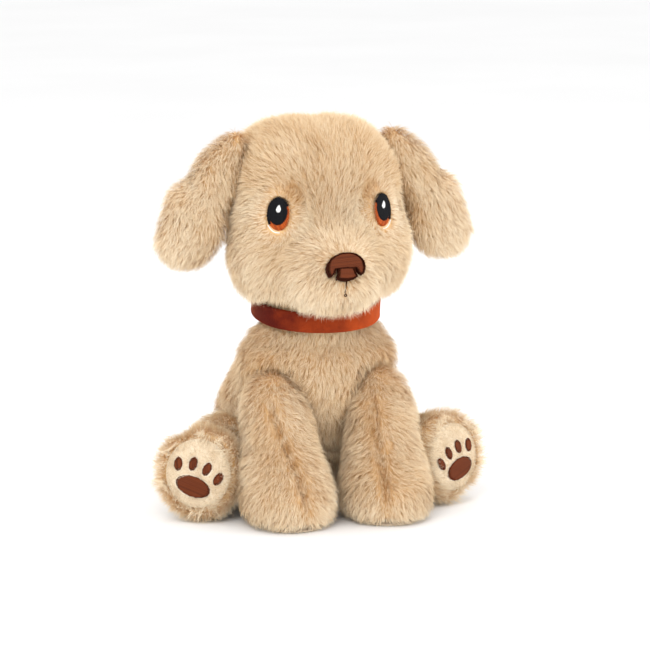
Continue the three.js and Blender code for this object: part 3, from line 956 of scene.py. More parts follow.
        middles[:, 2] = np.maximum(middles[:, 2], 0.3 * MM)
        tone = self.tone(roots, normals) + 0.05 * wander(roots, 30 * MM, self.seed + 21)
        tone += 0.05 * tuft.each(draw.normal(size=tuft.count)) + 0.06 * draw.normal(size=count)
        # Painted shade: the shorter strands beneath the others are set 0.1 darker.
        tone -= np.where(under, 0.1, 0.0)
        roll = np.radians(draw.uniform(-35, 35, count))[:, None]
        flat = unit(np.cross(tips - roots, normals))
        flat = flat * np.cos(roll) + normals * np.sin(roll)
        width = pile.width * draw.uniform(0.75, 1.25, count)
        rooted = roots - normals * 0.3 * MM
        rooted[:, 2] = np.maximum(rooted[:, 2], 0.1 * MM)
        return Strands(rooted, middles, tips, flat, width, np.clip(tone, 0.02, 0.98))


class Tufts:
    """Groups scattered roots into tufts by a jittered grid, the nearest grid point owning each root."""

    def __init__(self, roots: np.ndarray, pitch: float, seed: int) -> None:
        """Finds each root's tuft.

        Args:
            roots: where the strands start.
            pitch: the grid's step.
            seed: chooses the tufts.
        """
        cell = np.floor(roots / pitch).astype(np.int64)
        best = np.full(len(roots), np.inf)
        owner = np.zeros(len(roots), np.int64)
        for step in np.ndindex(3, 3, 3):
            around = cell + np.array(step) - 1
            key = self.key(around, seed)
            spots = (around + self.jitter(key)) * pitch
            gap = ((spots - roots) ** 2).sum(1)
            closer = gap < best
            best[closer] = gap[closer]
            owner[closer] = key[closer]
        names, self.member = np.unique(owner, return_inverse=True)
        self.count = len(names)

    @staticmethod
    def key(cell: np.ndarray, seed: int) -> np.ndarray:
        """One whole number for each grid cell."""
        mixed = (cell[:, 0] * 73856093) ^ (cell[:, 1] * 19349663) ^ (cell[:, 2] * 83492791)
        return (mixed ^ (seed * 2654435761)) & 0x7FFFFFFF

    @staticmethod
    def jitter(key: np.ndarray) -> np.ndarray:
        """A fixed random offset inside each cell."""
        parts = [(key * prime >> 7) % 1024 / 1024.0 for prime in (40503, 30011, 50021)]
        return np.stack(parts, 1)

    def each(self, values: np.ndarray) -> np.ndarray:
        """Spreads one value a tuft over its strands."""
        return values[self.member]

    def centres(self, roots: np.ndarray) -> np.ndarray:
        """The mean root of each strand's tuft.

        Args:
            roots: where the strands start.

        Returns:
            Points, one a strand.
        """
        count = np.bincount(self.member, minlength=self.count)[:, None]
        total = np.stack([np.bincount(self.member, roots[:, k], self.count) for k in range(3)], 1)
        return (total / count)[self.member]


@dataclass
class Strands:
    """Many strands, each a narrow blade bent once and pointed at its tip."""

    roots: np.ndarray
    middles: np.ndarray
    tips: np.ndarray
    flat: np.ndarray
    width: np.ndarray
    tone: np.ndarray

    def mesh(self, name: str, share: np.ndarray) -> bpy.types.Object:
        """The chosen strands as one mesh piece.

        Args:
            name: the piece's name.
            share: which strands it holds.

        Returns:
            The piece.
        """
        count = int(share.sum())
        wide = self.flat[share] * (self.width[share] / 2)[:, None]
        roots, middles, tips = self.roots[share], self.middles[share], self.tips[share]
        rows = np.stack([roots - wide, roots + wide, middles + wide * 0.8, middles - wide * 0.8, tips], 1)
        data = bpy.data.meshes.new(name)
        data.vertices.add(count * 5)
        data.vertices.foreach_set("co", rows.astype(np.float32).ravel())
        corners = np.array((0, 1, 2, 3, 3, 2, 4))
        loops = (np.arange(count)[:, None] * 5 + corners).ravel().astype(np.int32)
        data.loops.add(len(loops))
        data.loops.foreach_set("vertex_index", loops)
        starts = (np.arange(count)[:, None] * 7 + np.array((0, 4))).ravel().astype(np.int32)
        data.polygons.add(len(starts))
        data.polygons.foreach_set("loop_start", starts)
        data.update(calc_edges=True)
        tone = self.tone[share][:, None]
        side = np.array((-1, 1, 1, -1, -1, 1, 0)) * 0.006
        up = np.array((0.01, 0.01, 0.5, 0.5, 0.5, 0.5, 0.99))
        pairs = np.stack([tone + side, np.broadcast_to(up, (count, 7))], 2)
        layer = data.uv_layers.new(name=STRAND_MAP)
        layer.data.foreach_set("uv", pairs.astype(np.float32).ravel())
        return add_object(name, data)


# ---------------------------------------------------------------- the puppy's stuffed parts


class Head(StuffedPart):
    """The head: combed away from the nose, short round the eyes, sunk and painted with shade at the ear
    roots.
    """

    name = "head_skin"
    body = "head"
    nodes = ("head_cover", "head_filling")
    flat = (
        "left_eye_iris",
        "right_eye_iris",
        "left_eye_rim",
        "right_eye_rim",
        "nose_cap",
        "nose_base",
        "mouth_thread",
        "mouth_knot",
    )
    seed = 101
    fill = 0.9
    pile = Pile(length=8.4 * MM, density=3.6)
    sink = 4.2 * MM
    under_trim = 1.0 * MM
    bald = 0.5 * MM
    puff = 1.4 * MM

    def __init__(self) -> None:
        """Notes the nose, the eyes and the ear roots."""
        super().__init__()
        self.nose = middle("nose_cap")
        self.centre = middle("head_cover")
        self.eyes = [middle(f"{side.word}_eye_iris") for side in Side]
        self.ears = Near(*(f"{side.word}_ear_front_panel" for side in Side))
        self.mouth = Near("mouth_thread", "mouth_knot")

    def flow(self, points: np.ndarray, normals: np.ndarray) -> np.ndarray:
        """Away from the nose, and down over the sides and back.

        Args:
            points: places, one a row.
            normals: not used.

        Returns:
            Directions, not yet unit or tangent.
        """
        away = unit(points - self.nose)
        sideways = smooth(16 * MM, 42 * MM, np.abs(points[:, 0])) * smooth(214 * MM, 186 * MM, points[:, 2])
        behind = smooth(-70 * MM, -20 * MM, points[:, 1])
        low = smooth(172 * MM, 145 * MM, points[:, 2])
        weight = 0.12 + 1.2 * sideways + 0.7 * behind + 1.1 * low
        way = away - UP * weight[:, None]
        for eye in self.eyes:
            gap = points - eye
            far = np.linalg.norm(gap, axis=1, keepdims=True)
            way += 2.2 * (1.0 - smooth(11 * MM, 20 * MM, far)) * unit(gap)
        return way

    def length(self, points: np.ndarray, normals: np.ndarray) -> np.ndarray:
        """Shorter beside the embroidery and on the muzzle, longer under the chin.

        Args:
            points: places, one a row.
            normals: not used.

        Returns:
            Shares of the length of the pile.
        """
        near_trim = smooth(0.5 * MM, 14 * MM, self.trim.distance(points))
        skirt = self.chin(points)
        near_ear = smooth(2 * MM, 11 * MM, self.ears.distance(points))
        near_mouth = smooth(1 * MM, 6 * MM, self.mouth.distance(points))
        return (0.6 + 0.4 * near_trim + 0.4 * skirt) * (0.45 + 0.55 * near_ear) * (0.6 + 0.4 * near_mouth)

    def depth(self, points: np.ndarray, normals: np.ndarray) -> np.ndarray:
        """Deeper behind the ears, shallower round the chin and over the collar.

        Args:
            points: places, one a row.
            normals: the outward directions there.

        Returns:
            Depths in metres.
        """
        plain = super().depth(points, normals)
        by_ear = 1.0 - smooth(3 * MM, 15 * MM, self.ears.distance(points))
        return plain + 2.6 * MM * by_ear - 3.4 * MM * self.chin(points)

    @staticmethod
    def chin(points: np.ndarray) -> np.ndarray:
        """1 at the chin, a little round the rest of the head's lower edge, 0 above.

        Args:
            points: places, one a row.

        Returns:
            Shares from 0 to 1.
        """
        low = smooth(156 * MM, 142 * MM, points[:, 2])
        centre = smooth(36 * MM, 16 * MM, np.abs(points[:, 0])) * smooth(-60 * MM, -78 * MM, points[:, 1])
        rim = 0.6 * smooth(148 * MM, 139 * MM, points[:, 2])
        return np.maximum(low * centre, rim)

    def tone(self, points: np.ndarray, normals: np.ndarray) -> np.ndarray:
        """Painted shade at the ear roots, the inner eye corners and above the nose.

        Args:
            points: places, one a row.
            normals: not used.

        Returns:
            Tones from 0 to 1.
        """
        value = 0.68 - 0.12 * smooth(188 * MM, 212 * MM, points[:, 2])
        value += 0.1 * (1.0 - smooth(1 * MM, 8 * MM, self.trim.distance(points)))
        # Painted shade in the creases at the ear roots.
        value -= 0.38 * (1.0 - smooth(4 * MM, 13 * MM, self.ears.distance(points)))
        # Painted shade above the inner corner of each eye.
        for eye in self.eyes:
            corner = eye + np.array((-math.copysign(9 * MM, eye[0]), -2 * MM, 11 * MM))
            value -= 0.22 * (1.0 - smooth(3 * MM, 10 * MM, np.linalg.norm(points - corner, axis=1)))
        # Painted shade above the nose.
        above = self.nose + np.array((-8 * MM, 4 * MM, 15 * MM))
        from_nose_shade = np.linalg.norm((points - above) * (0.7, 1, 1.3), axis=1)
        value -= 0.42 * (1.0 - smooth(1 * MM, 11 * MM, from_nose_shade))
        chin = smooth(158 * MM, 140 * MM, points[:, 2]) * smooth(-50 * MM, -80 * MM, points[:, 1])
        return value + 0.08 * chin

    def groove(self, points: np.ndarray, normals: np.ndarray) -> np.ndarray:
        """The seam over the crown."""
        crown = np.exp(-((points[:, 0] / (2.2 * MM)) ** 2)) * smooth(-75 * MM, -55 * MM, points[:, 1])
        return 0.7 * MM * crown

    def shares(self, roots: np.ndarray) -> Iterator[tuple[str, np.ndarray]]:
        """The face, the crown and the back are separate pieces.

        Args:
            roots: where the strands start.

        Returns:
            Labels, and which strands each piece holds.
        """
        face = roots[:, 1] < self.centre[1] - 12 * MM
        crown = ~face & (roots[:, 2] > self.centre[2] + 8 * MM)
        yield "_face", face
        yield "_crown", crown
        yield "_nape", ~face & ~crown


class Torso(StuffedPart):
    """The trunk: combed down, with painted shade where the legs leave it."""

    name = "torso_skin"
    body = "torso"
    nodes = ("torso_cover", "torso_filling", "seat_bean_bag")
    seed = 201
    fill = 0.75
    neighbours = (
        "left_front_leg_cover",
        "right_front_leg_cover",
        "left_hind_leg_cover",
        "right_hind_leg_cover",
        "tail_cover",
    )
    pile = Pile(length=8.8 * MM, density=2.9)
    sink = 1.8 * MM
    puff = 1.8 * MM
    voxel = 4.0 * MM

    def __init__(self) -> None:
        """Notes the collar's lower edge and the front legs."""
        super().__init__()
        self.collar_low = float(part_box("collar_band")[0].z)
        self.legs = Near(*(f"{side.word}_front_leg_cover" for side in Side))

    def flow(self, points: np.ndarray, normals: np.ndarray) -> np.ndarray:
        """Down, spreading a little from the middle of the chest.

        Args:
            points: places, one a row.
            normals: not used.

        Returns:
            Directions, not yet unit or tangent.
        """
        spread = np.zeros_like(points)
        spread[:, 0] = 0.25 * np.tanh(points[:, 0] / (20 * MM))
        return spread - UP

    def depth(self, points: np.ndarray, normals: np.ndarray) -> np.ndarray:
        """Sloping at the shoulders, and full where the front legs are sewn on.

        Args:
            points: places, one a row.
            normals: the outward directions there.

        Returns:
            Depths in metres.
        """
        plain = super().depth(points, normals)
        high = smooth(96 * MM, 106 * MM, points[:, 2]) * smooth(124 * MM, 116 * MM, points[:, 2])
        slope = high * smooth(26 * MM, 38 * MM, np.abs(points[:, 0]))
        by_leg = 1.0 - smooth(2 * MM, 14 * MM, self.legs.distance(points))
        return plain + 3.0 * MM * slope - 2.2 * MM * by_leg * smooth(62 * MM, 80 * MM, points[:, 2])

    def length(self, points: np.ndarray, normals: np.ndarray) -> np.ndarray:
        """Short under the collar."""
        return 0.3 + 0.7 * smooth(self.collar_low + 8 * MM, self.collar_low - 3 * MM, points[:, 2])

    def tone(self, points: np.ndarray, normals: np.ndarray) -> np.ndarray:
        """Painted shade beside the front legs."""
        near = self.legs.distance(points)
        # Painted shade beside the front legs.
        return 0.6 - 0.12 * (1.0 - smooth(3 * MM, 10 * MM, near))

    def groove(self, points: np.ndarray, normals: np.ndarray) -> np.ndarray:
        """The belly's sewn fold and the back seam.

        Args:
            points: places, one a row.
            normals: not used.

        Returns:
            Depths in metres.
        """
        back = smooth(0.0, 20 * MM, points[:, 1]) * np.exp(-((points[:, 0] / (2.2 * MM)) ** 2))
        front = smooth(-20 * MM, -40 * MM, points[:, 1])
        fold = np.exp(-(((points[:, 2] - 38 * MM) / (3 * MM)) ** 2)) * front
        return 0.8 * MM * back + 2.0 * MM * fold


class FrontLeg(StuffedPart):
    """A front leg: a part line runs down its front, and the coat falls away from it on both sides."""

    fill = 0.8
    neighbours = ("torso_cover",)
    pile = Pile(length=8.4 * MM, density=3.1)
    sink = 1.2 * MM
    puff = 1.6 * MM

    def __init__(self, side: Side, part_high: float, part_low: float) -> None:
        """Notes the leg's place.

        Args:
            side: which leg.
            part_high: where the part line starts, out from the leg's middle.
            part_low: where it ends at the paw.
        """
        self.name = f"{side.word}_front_leg_skin"
        self.body = f"{side.word}_front_leg"
        self.nodes = (f"{side.word}_front_leg_cover", f"{side.word}_front_leg_filling")
        self.flat = (f"{side.word}_front_sole",)
        self.seed = 301 if side is Side.LEFT else 302
        super().__init__()
        self.side = side.value
        self.part_high, self.part_low = part_high, part_low
        self.centre_x = middle(f"{side.word}_front_sole")[0]

    def depth(self, points: np.ndarray, normals: np.ndarray) -> np.ndarray:
        """Deeper at the shoulder, where the leg is sewn in level with the chest."""
        return super().depth(points, normals) + 4.2 * MM * smooth(60 * MM, 88 * MM, points[:, 2])

    def off_line(self, points: np.ndarray) -> np.ndarray:
        """Each point's distance across from the part line.

        Args:
            points: places, one a row.

        Returns:
            Distances in metres, with a sign.
        """
        rise = smooth(12 * MM, 92 * MM, points[:, 2])
        out = self.part_low + (self.part_high - self.part_low) * rise
        return points[:, 0] - (self.centre_x + self.side * out)

    def frontness(self, points: np.ndarray) -> np.ndarray:
        """1 on the leg's front, 0 behind."""
        return smooth(-70 * MM, -88 * MM, points[:, 1])

    def flow(self, points: np.ndarray, normals: np.ndarray) -> np.ndarray:
        """Down and away from the part line in front, down elsewhere, forward over the paw.

        Args:
            points: places, one a row.
            normals: not used.

        Returns:
            Directions, not yet unit or tangent.
        """
        across = np.zeros_like(points)
        apart = np.tanh(self.off_line(points) / (6 * MM)) * self.frontness(points)
        across[:, 0] = 0.75 * apart * smooth(96 * MM, 80 * MM, points[:, 2])
        ahead = np.zeros_like(points)
        ahead[:, 1] = -0.5 * smooth(34 * MM, 16 * MM, points[:, 2]) * smooth(-60 * MM, -80 * MM, points[:, 1])
        return across + ahead - UP

    def length(self, points: np.ndarray, normals: np.ndarray) -> np.ndarray:
        """Shorter on the part line and under the paw."""
        line = np.exp(-((self.off_line(points) / (3 * MM)) ** 2)) * self.frontness(points)
        return (1.0 - 0.35 * line) * (0.55 + 0.45 * smooth(0.0, 9 * MM, points[:, 2]))

    def tone(self, points: np.ndarray, normals: np.ndarray) -> np.ndarray:
        """Painted shade on the part line and at the leg's inner top, lighter at the paw.

        Args:
            points: places, one a row.
            normals: the outward directions there.

        Returns:
            Tones from 0 to 1.
        """
        # Painted shade in the part line's crevice, broken into specks.
        line = np.exp(-((self.off_line(points) / (2.8 * MM)) ** 2)) * self.frontness(points)
        broken = 0.7 + 0.5 * wander(points, 7 * MM, self.seed + 5)
        value = 0.63 - 0.48 * line * broken.clip(0.1) * smooth(8 * MM, 20 * MM, points[:, 2])
        value += 0.08 * smooth(30 * MM, 8 * MM, points[:, 2])
        # Painted shade on the inner side of the leg's top, where it meets the chest.
        inner = smooth(0.2, 0.9, -normals[:, 0] * self.side)
        return value - 0.12 * inner * smooth(40 * MM, 70 * MM, points[:, 2])

    def groove(self, points: np.ndarray, normals: np.ndarray) -> np.ndarray:
        """The seam under the part line."""
        line = np.exp(-((self.off_line(points) / (2.6 * MM)) ** 2)) * self.frontness(points)
        return 2.2 * MM * line * smooth(10 * MM, 20 * MM, points[:, 2])


class HindLeg(StuffedPart):
    """A hind leg: combed from the haunch to the foot, longer round the sole."""

    fill = 0.8
    neighbours = ("torso_cover",)
    pile = Pile(length=8.8 * MM, density=3.0)
    sink = 2.0 * MM
    puff = 1.6 * MM

    def __init__(self, side: Side) -> None:
        """Notes the sole's place and the way that it faces.

        Args:
            side: which side.
        """
        self.name = f"{side.word}_hind_leg_skin"
        self.body = f"{side.word}_hind_leg"
        self.nodes = (
            f"{side.word}_hind_leg_cover",
            f"{side.word}_hind_leg_filling",
            f"{side.word}_foot_bean_bag",
        )
        self.flat = (f"{side.word}_hind_sole",)
        self.bald = 0.5 * MM
        self.seed = 401 if side is Side.LEFT else 402
        super().__init__()
        self.side = side.value
        plate = Plate(f"{side.word}_hind_sole", np.array((0.0, 50 * MM, 30 * MM)))
        self.sole, self.ahead = plate.origin, plate.normal

    def depth(self, points: np.ndarray, normals: np.ndarray) -> np.ndarray:
        """Full in a ring round the sole.

        Args:
            points: places, one a row.
            normals: the outward directions there.

        Returns:
            Depths in metres.
        """
        near = self.trim.distance(points)
        ring = smooth(1.5 * MM, 4 * MM, near) * smooth(22 * MM, 6 * MM, near)
        ring = ring * smooth(1 * MM, 8 * MM, points[:, 2])
        return super().depth(points, normals) - 2.4 * MM * ring

    def flow(self, points: np.ndarray, normals: np.ndarray) -> np.ndarray:
        """Towards the foot, spreading round the sole, and a little down.

        Args:
            points: places, one a row.
            normals: not used.

        Returns:
            Directions, not yet unit or tangent.
        """
        round_sole = points - self.sole
        round_sole -= (round_sole @ self.ahead)[:, None] * self.ahead
        near = smooth(40 * MM, 12 * MM, np.abs((points - self.sole) @ self.ahead))[:, None]
        outward = np.array((0.3 * self.side, 0.0, 0.0))
        haunch = 0.15 * self.ahead - 0.9 * UP + outward
        return near * (self.ahead + 0.2 * unit(round_sole)) + (1.0 - near) * haunch

    def length(self, points: np.ndarray, normals: np.ndarray) -> np.ndarray:
        """A little longer beside the sole."""
        return 0.95 + 0.25 * smooth(15 * MM, 4 * MM, self.trim.distance(points))

    def tone(self, points: np.ndarray, normals: np.ndarray) -> np.ndarray:
        """Lighter than the trunk's coat, as painted light against the shade among strands that point forward;
        lighter still towards the sole.
        """
        near = self.trim.distance(points)
        # The leg's coat is painted lighter than the trunk's: painted light against the shade among strands
        # that point forward.
        return 0.84 + 0.1 * smooth(22 * MM, 6 * MM, near)


class Ear(StuffedPart):
    """An ear: a flat leaf, combed from its root to its tip."""

    fill = 0.5
    pile = Pile(length=8.4 * MM, density=3.6)
    sink = 1.4 * MM
    puff = 1.6 * MM
    voxel = 3.0 * MM

    def __init__(self, side: Side) -> None:
        """Notes the ear's root and tip.

        Args:
            side: which side.
        """
        self.name = f"{side.word}_ear_skin"
        self.body = f"{side.word}_ear"
        self.nodes = (f"{side.word}_ear_front_panel", f"{side.word}_ear_back_panel")
        self.seed = 501 if side is Side.LEFT else 502
        super().__init__()
        points = node_points(*self.nodes)
        self.root = points[points[:, 2] > points[:, 2].max() - 8 * MM].mean(0)
        self.tip = points[points[:, 2] < points[:, 2].min() + 8 * MM].mean(0)
        self.side = side.value

    def depth(self, points: np.ndarray, normals: np.ndarray) -> np.ndarray:
        """The leaf stays full, fuller along its outer edge and where it lies against the cheek.

        Args:
            points: places, one a row.
            normals: the outward directions there.

        Returns:
            Depths in metres.
        """
        outer = smooth(-0.2, 0.6, normals[:, 0] * self.side)
        inner = smooth(-0.2, 0.6, -normals[:, 0] * self.side)
        swell = 4.5 * MM * outer * np.exp(-(((points[:, 2] - 202 * MM) / (15 * MM)) ** 2))
        rest = 3.5 * MM * inner * smooth(160 * MM, 178 * MM, points[:, 2])
        return self.sink - swell - rest

    def drift(self, points: np.ndarray, normals: np.ndarray) -> np.ndarray:
        """The ear is sewn on turned a little forward.

        Args:
            points: places, one a row.
            normals: not used.

        Returns:
            Offsets in metres.
        """
        moved = np.zeros_like(points)
        moved[:, 1] = -5.0 * MM
        return moved

    def flow(self, points: np.ndarray, normals: np.ndarray) -> np.ndarray:
        """From the root to the tip, spreading."""
        along = unit(self.tip - self.root)
        return unit(points - (self.root - along * 25 * MM))

    def tone(self, points: np.ndarray, normals: np.ndarray) -> np.ndarray:
        """Painted shade on the side that faces the head, most towards the root, and on the inner upper part
        beside the head.

        Args:
            points: places, one a row.
            normals: the outward directions there.

        Returns:
            Tones from 0 to 1.
        """
        out = np.abs(points[:, 0])
        # Painted shade on the side that faces the head, most towards the root.
        inner = smooth(0.0, 1.0, -normals[:, 0] * self.side)
        top = smooth(self.tip[2], self.root[2], points[:, 2])
        # Painted shade on the inner upper part, beside the head.
        by_head_shade = smooth(84 * MM, 64 * MM, out) * smooth(162 * MM, 178 * MM, points[:, 2])
        return 0.76 - 0.12 * by_head_shade - 0.4 * inner * (0.4 + 0.6 * top)


class Tail(StuffedPart):
    """The tail: short and thick, combed to its tip."""

    name = "tail_skin"
    body = "tail"
    nodes = ("tail_cover", "tail_filling")
    seed = 601
    fill = 0.7
    pile = Pile(length=7.8 * MM, density=3.0)
    sink = 2.2 * MM
    puff = 1.2 * MM
    voxel = 2.6 * MM

    def flow(self, points: np.ndarray, normals: np.ndarray) -> np.ndarray:
        """Along the tail."""
        return np.tile(np.array((0.0, 1.0, -0.25)), (len(points), 1))


def find_clearances(parts: Sequence[StuffedPart]) -> None:
    """Measures the free room above every skin point, up to the nearest other skin or the collar.

    Args:
        parts: the stuffed parts, sewn.
    """
    far = 14 * MM
    collar_points, collar_faces = node_mesh("collar_band")
    trees = {}
    for part in parts:
        trees[part.name] = BVHTree.FromPolygons(part.skin.points.tolist(), part.skin.triangles.tolist())
    trees["collar"] = BVHTree.FromPolygons(collar_points.tolist(), collar_faces)
    for part in parts:
        skin = part.skin
        room = np.full(len(skin.points), far)
        others = [tree for name, tree in trees.items() if name != part.name]
        for number, (point, normal) in enumerate(zip(skin.points.tolist(), skin.normals.tolist())):
            start, ahead = Vector(point), Vector(normal)
            for tree in others:
                place, face_normal, _, distance = tree.ray_cast(start, ahead, far)
                if place is not None:
                    inside = face_normal.dot(ahead) > 0.0
                    room[number] = min(room[number], 0.0 if inside else distance)
        skin.clearance = room


# ---------------------------------------------------------------- embroidery


class Plate:
    """A flat node of the frame as an outline in its own plane."""

    def __init__(self, node: str, inside: np.ndarray) -> None:
        """Finds the plate's outer face and its outline.

        Args:
            node: the plate's node.
            inside: a point behind the plate, which says which way is out.
        """
        points, faces = node_mesh(node)
        centre = points.mean(0)
        axes = np.linalg.svd(points - centre)[2]
        normal = axes[2]
        if normal @ (centre - inside) < 0:
            normal = -normal
        self.normal = normal
        upright = UP if abs(normal[2]) < 0.9 else np.array((0.0, -1.0, 0.0))
        self.up = unit(upright - (upright @ normal) * normal)
        self.across = np.cross(self.up, normal)
        height = points @ normal
        self.thickness = float(height.max() - height.min())
        top = height > height.max() - 0.05 * MM
        follow = {}
        for face in faces:
            if all(top[corner] for corner in face):
                keys = [self.place_key(points[corner]) for corner in face]
                for first, second in zip(keys, keys[1:] + keys[:1]):
                    follow.setdefault(first, []).append(second)
        edges = {(a, b) for a, ends in follow.items() for b in ends}
        border = {a: b for a, b in edges if (b, a) not in edges}
        start = next(iter(sorted(border)))
        loop, here = [start], border[start]
        while here != start and len(loop) <= len(border):
            loop.append(here)
            here = border[here]
        ring = np.array(loop) * 1e-6
        self.origin = ring.mean(0) - normal * self.thickness
        self.outline = np.stack([(ring - self.origin) @ self.across, (ring - self.origin) @ self.up], 1)

    @staticmethod
    def place_key(point: np.ndarray) -> tuple[int, int, int]:
        """A point in whole micrometres, so that corners that coincide are one."""
        return tuple(int(round(value * 1e6)) for value in point)

    def place(self, flat: np.ndarray, height: np.ndarray) -> np.ndarray:
        """Points of the plane, lifted by height, in the frame."""
        return (
            self.origin
            + flat[:, :1] * self.across
            + flat[:, 1:2] * self.up
            + np.asarray(height).reshape(-1, 1) * self.normal
        )


@dataclass
class Stitches:
    """Rows of thread laid as closed, rounded ridges."""

    thread: float = 0.42 * MM
    height: float = 0.5 * MM
    rims: int = 6
    vary: float = 0.2  # how much the shade changes from thread to thread
    root: float = 0.4 * MM  # how deep the ends of a thread go under the plate's back

    def tube(
        self, path: np.ndarray, normals: np.ndarray, wide: float, tall: float
    ) -> tuple[np.ndarray, list]:
        """One thread along a path.

        Args:
            path: the thread's centre line.
            normals: the outward direction at each of its points.
            wide: the thread's width.
            tall: its height.

        Returns:
            Points and faces of the closed thread.
        """
        ahead = unit(np.gradient(path, axis=0))
        across = np.cross(ahead, normals)
        turns = np.arange(self.rims) * (2 * math.pi / self.rims)
        ends = np.ones(len(path))
        ends[[0, -1]] = 0.45
        rings = (
            path[:, None, :]
            + across[:, None, :] * (np.cos(turns) * wide / 2)[None, :, None] * ends[:, None, None]
            + normals[:, None, :] * (np.sin(turns) * tall / 2)[None, :, None] * ends[:, None, None]
        )
        faces = []
        for row in range(len(path) - 1):
            for k in range(self.rims):
                a, b = row * self.rims + k, row * self.rims + (k + 1) % self.rims
                faces.append((a, b, b + self.rims, a + self.rims))
        faces.append(tuple(reversed(range(self.rims))))
        faces.append(tuple((len(path) - 1) * self.rims + k for k in range(self.rims)))
        return rings.reshape(-1, 3), faces

    def piece(
        self, name: str, threads: Sequence[tuple[np.ndarray, np.ndarray]], seed: int
    ) -> bpy.types.Object:
        """Many threads as one piece, each with a shade number of its own.

        Args:
            name: the piece's name.
            threads: centre lines and outward directions.
            seed: chooses the shades.

        Returns:
            The piece.
        """
        draw = np.random.default_rng(seed)
        points, faces, shades, start = [], [], [], 0
        for path, normals in threads:
            own, own_faces = self.tube(path, normals, self.thread * 1.3, self.height)
            points.append(own)
            faces += [tuple(corner + start for corner in face) for face in own_faces]
            shades.append(np.full(len(own), np.clip(0.45 + self.vary * draw.normal(), 0.0, 1.0)))
            start += len(own)
        made = mesh_object(name, np.concatenate(points), faces)
        shade = made.data.attributes.new("shade", "FLOAT", "POINT")
        shade.data.foreach_set("value", np.concatenate(shades).astype(np.float32))
        return made

    def fill(self, plate: Plate, lean: float, base: float, crown: float, seed: int) -> list:
        """Satin threads that fill a plate's outline.

        Args:
            plate: the plate.
            lean: the threads' angle from level, in degrees.
            base: the height of their ends.
            crown: how much higher their middles stand.
            seed: chooses how far each end strays.

        Returns:
            Centre lines and outward directions.
        """
        draw = np.random.default_rng(seed)
        turn = math.radians(lean)
        level = np.array((math.cos(turn), math.sin(turn)))
        rise = np.array((-math.sin(turn), math.cos(turn)))
        ring = np.stack([plate.outline @ level, plate.outline @ rise], 1)
        low, high = ring[:, 1].min(), ring[:, 1].max()
        rows = max(3, int(round((high - low) / self.thread)))
        threads = []
        for row in range(rows):
            at = low + (row + 0.5) * (high - low) / rows
            cuts = sorted(self.crossings(ring, at))
            for left, right in zip(cuts[::2], cuts[1::2]):
                if right - left < 0.5 * self.thread:
                    continue
                stray = draw.uniform(-0.12, 0.18, 2) * MM
                count = max(4, int((right - left) / (1.1 * MM)) + 3)
                across = np.linspace(left - stray[0], right + stray[1], count)
                flat = across[:, None] * level + at * rise
                edge = np.minimum(across - left, right - across).clip(0.0)
                swell = np.sqrt(np.clip(edge / (0.5 * (high - low)), 0.0, 1.0))
                height = base + crown * np.minimum(swell * 1.6, 1.0) * self.bulge((at - low) / (high - low))
                height[[0, -1]] = -self.root
                path = plate.place(flat, height)
                threads.append((path, np.tile(plate.normal, (count, 1))))
        return threads

    def wall(self, plate: Plate, depth: float) -> list:
        """Threads laid round a plate's edge, one behind the other, down into the cloth behind it.

        Args:
            plate: the plate.
            depth: how far behind the plate's back the last of them lies.

        Returns:
            Centre lines and outward directions.
        """
        ring = np.concatenate([plate.outline, plate.outline[:1]])
        marks = np.concatenate([[0.0], np.cumsum(np.linalg.norm(np.diff(ring, axis=0), axis=1))])
        at = np.linspace(0, marks[-1], int(marks[-1] / (0.8 * MM)) + 1)
        path = np.stack([np.interp(at, marks, ring[:, k]) for k in (0, 1)], 1)
        normals = np.tile(plate.normal, (len(path), 1))
        lifts = np.arange(0.6 * MM, -depth, -0.8 * self.thread)
        return [(plate.place(path, np.full(len(path), lift)), normals) for lift in lifts]

    @staticmethod
    def bulge(share: float) -> float:
        """How full the stitching is at a share of the way across it."""
        return min(1.0, 2.2 * math.sqrt(max(0.0, share * (1.0 - share))))

    @staticmethod
    def crossings(ring: np.ndarray, at: float) -> list[float]:
        """Where an outline crosses a level line.

        Args:
            ring: the outline.
            at: the line's height.

        Returns:
            Positions along the line.
        """
        found = []
        for first, second in zip(ring, np.roll(ring, -1, 0)):
            if (first[1] > at) != (second[1] > at):
                share = (at - first[1]) / (second[1] - first[1])
                found.append(float(first[0] + share * (second[0] - first[0])))
        return found

    def border(
        self,
        plate: Plate,
        reach: float,
        height: float,
        seed: int,
        span: tuple[float, float] = (0.0, 1.0),
        grow: float = 0.0,
    ) -> list:
        """Short satin threads across a plate's edge.

        Args:
            plate: the plate.
            reach: how wide the border is.
            height: how high it stands.
            seed: chooses how far each end strays.
            span: the part of the edge that is stitched, as angles from level in turns.
            grow: how far outside the outline the border's middle runs.

        Returns:
            Centre lines and outward directions.
        """
        draw = np.random.default_rng(seed)
        ring = np.concatenate([plate.outline, plate.outline[:1]])
        steps = np.linalg.norm(np.diff(ring, axis=0), axis=1)
        total = steps.sum()
        count = int(total / (self.thread * 0.95))
        marks = np.concatenate([[0.0], np.cumsum(steps)])
        at = np.linspace(0, total, count, endpoint=False)
        spots = np.stack([np.interp(at, marks, ring[:, k]) for k in (0, 1)], 1)
        ahead = unit(np.roll(spots, -2, 0) - np.roll(spots, 2, 0))
        outward = np.stack([ahead[:, 1], -ahead[:, 0]], 1)
        if (outward * (spots - spots.mean(0))).sum() < 0:
            outward = -outward
        threads = []
        for spot, out in zip(spots, outward):
            turn = math.atan2(spot[1], spot[0]) / (2 * math.pi) % 1.0
            start, end = span
            if (turn - start) % 1.0 > (end - start) and end - start < 1.0:
                continue
            stray = draw.uniform(-0.25, 0.25, 2) * MM
            shares = np.linspace(-0.5, 0.5, 5)
            strayed = shares[:, None] * reach + np.linspace(stray[0], stray[1], 5)[:, None]
            flat = spot + out * grow + out * strayed
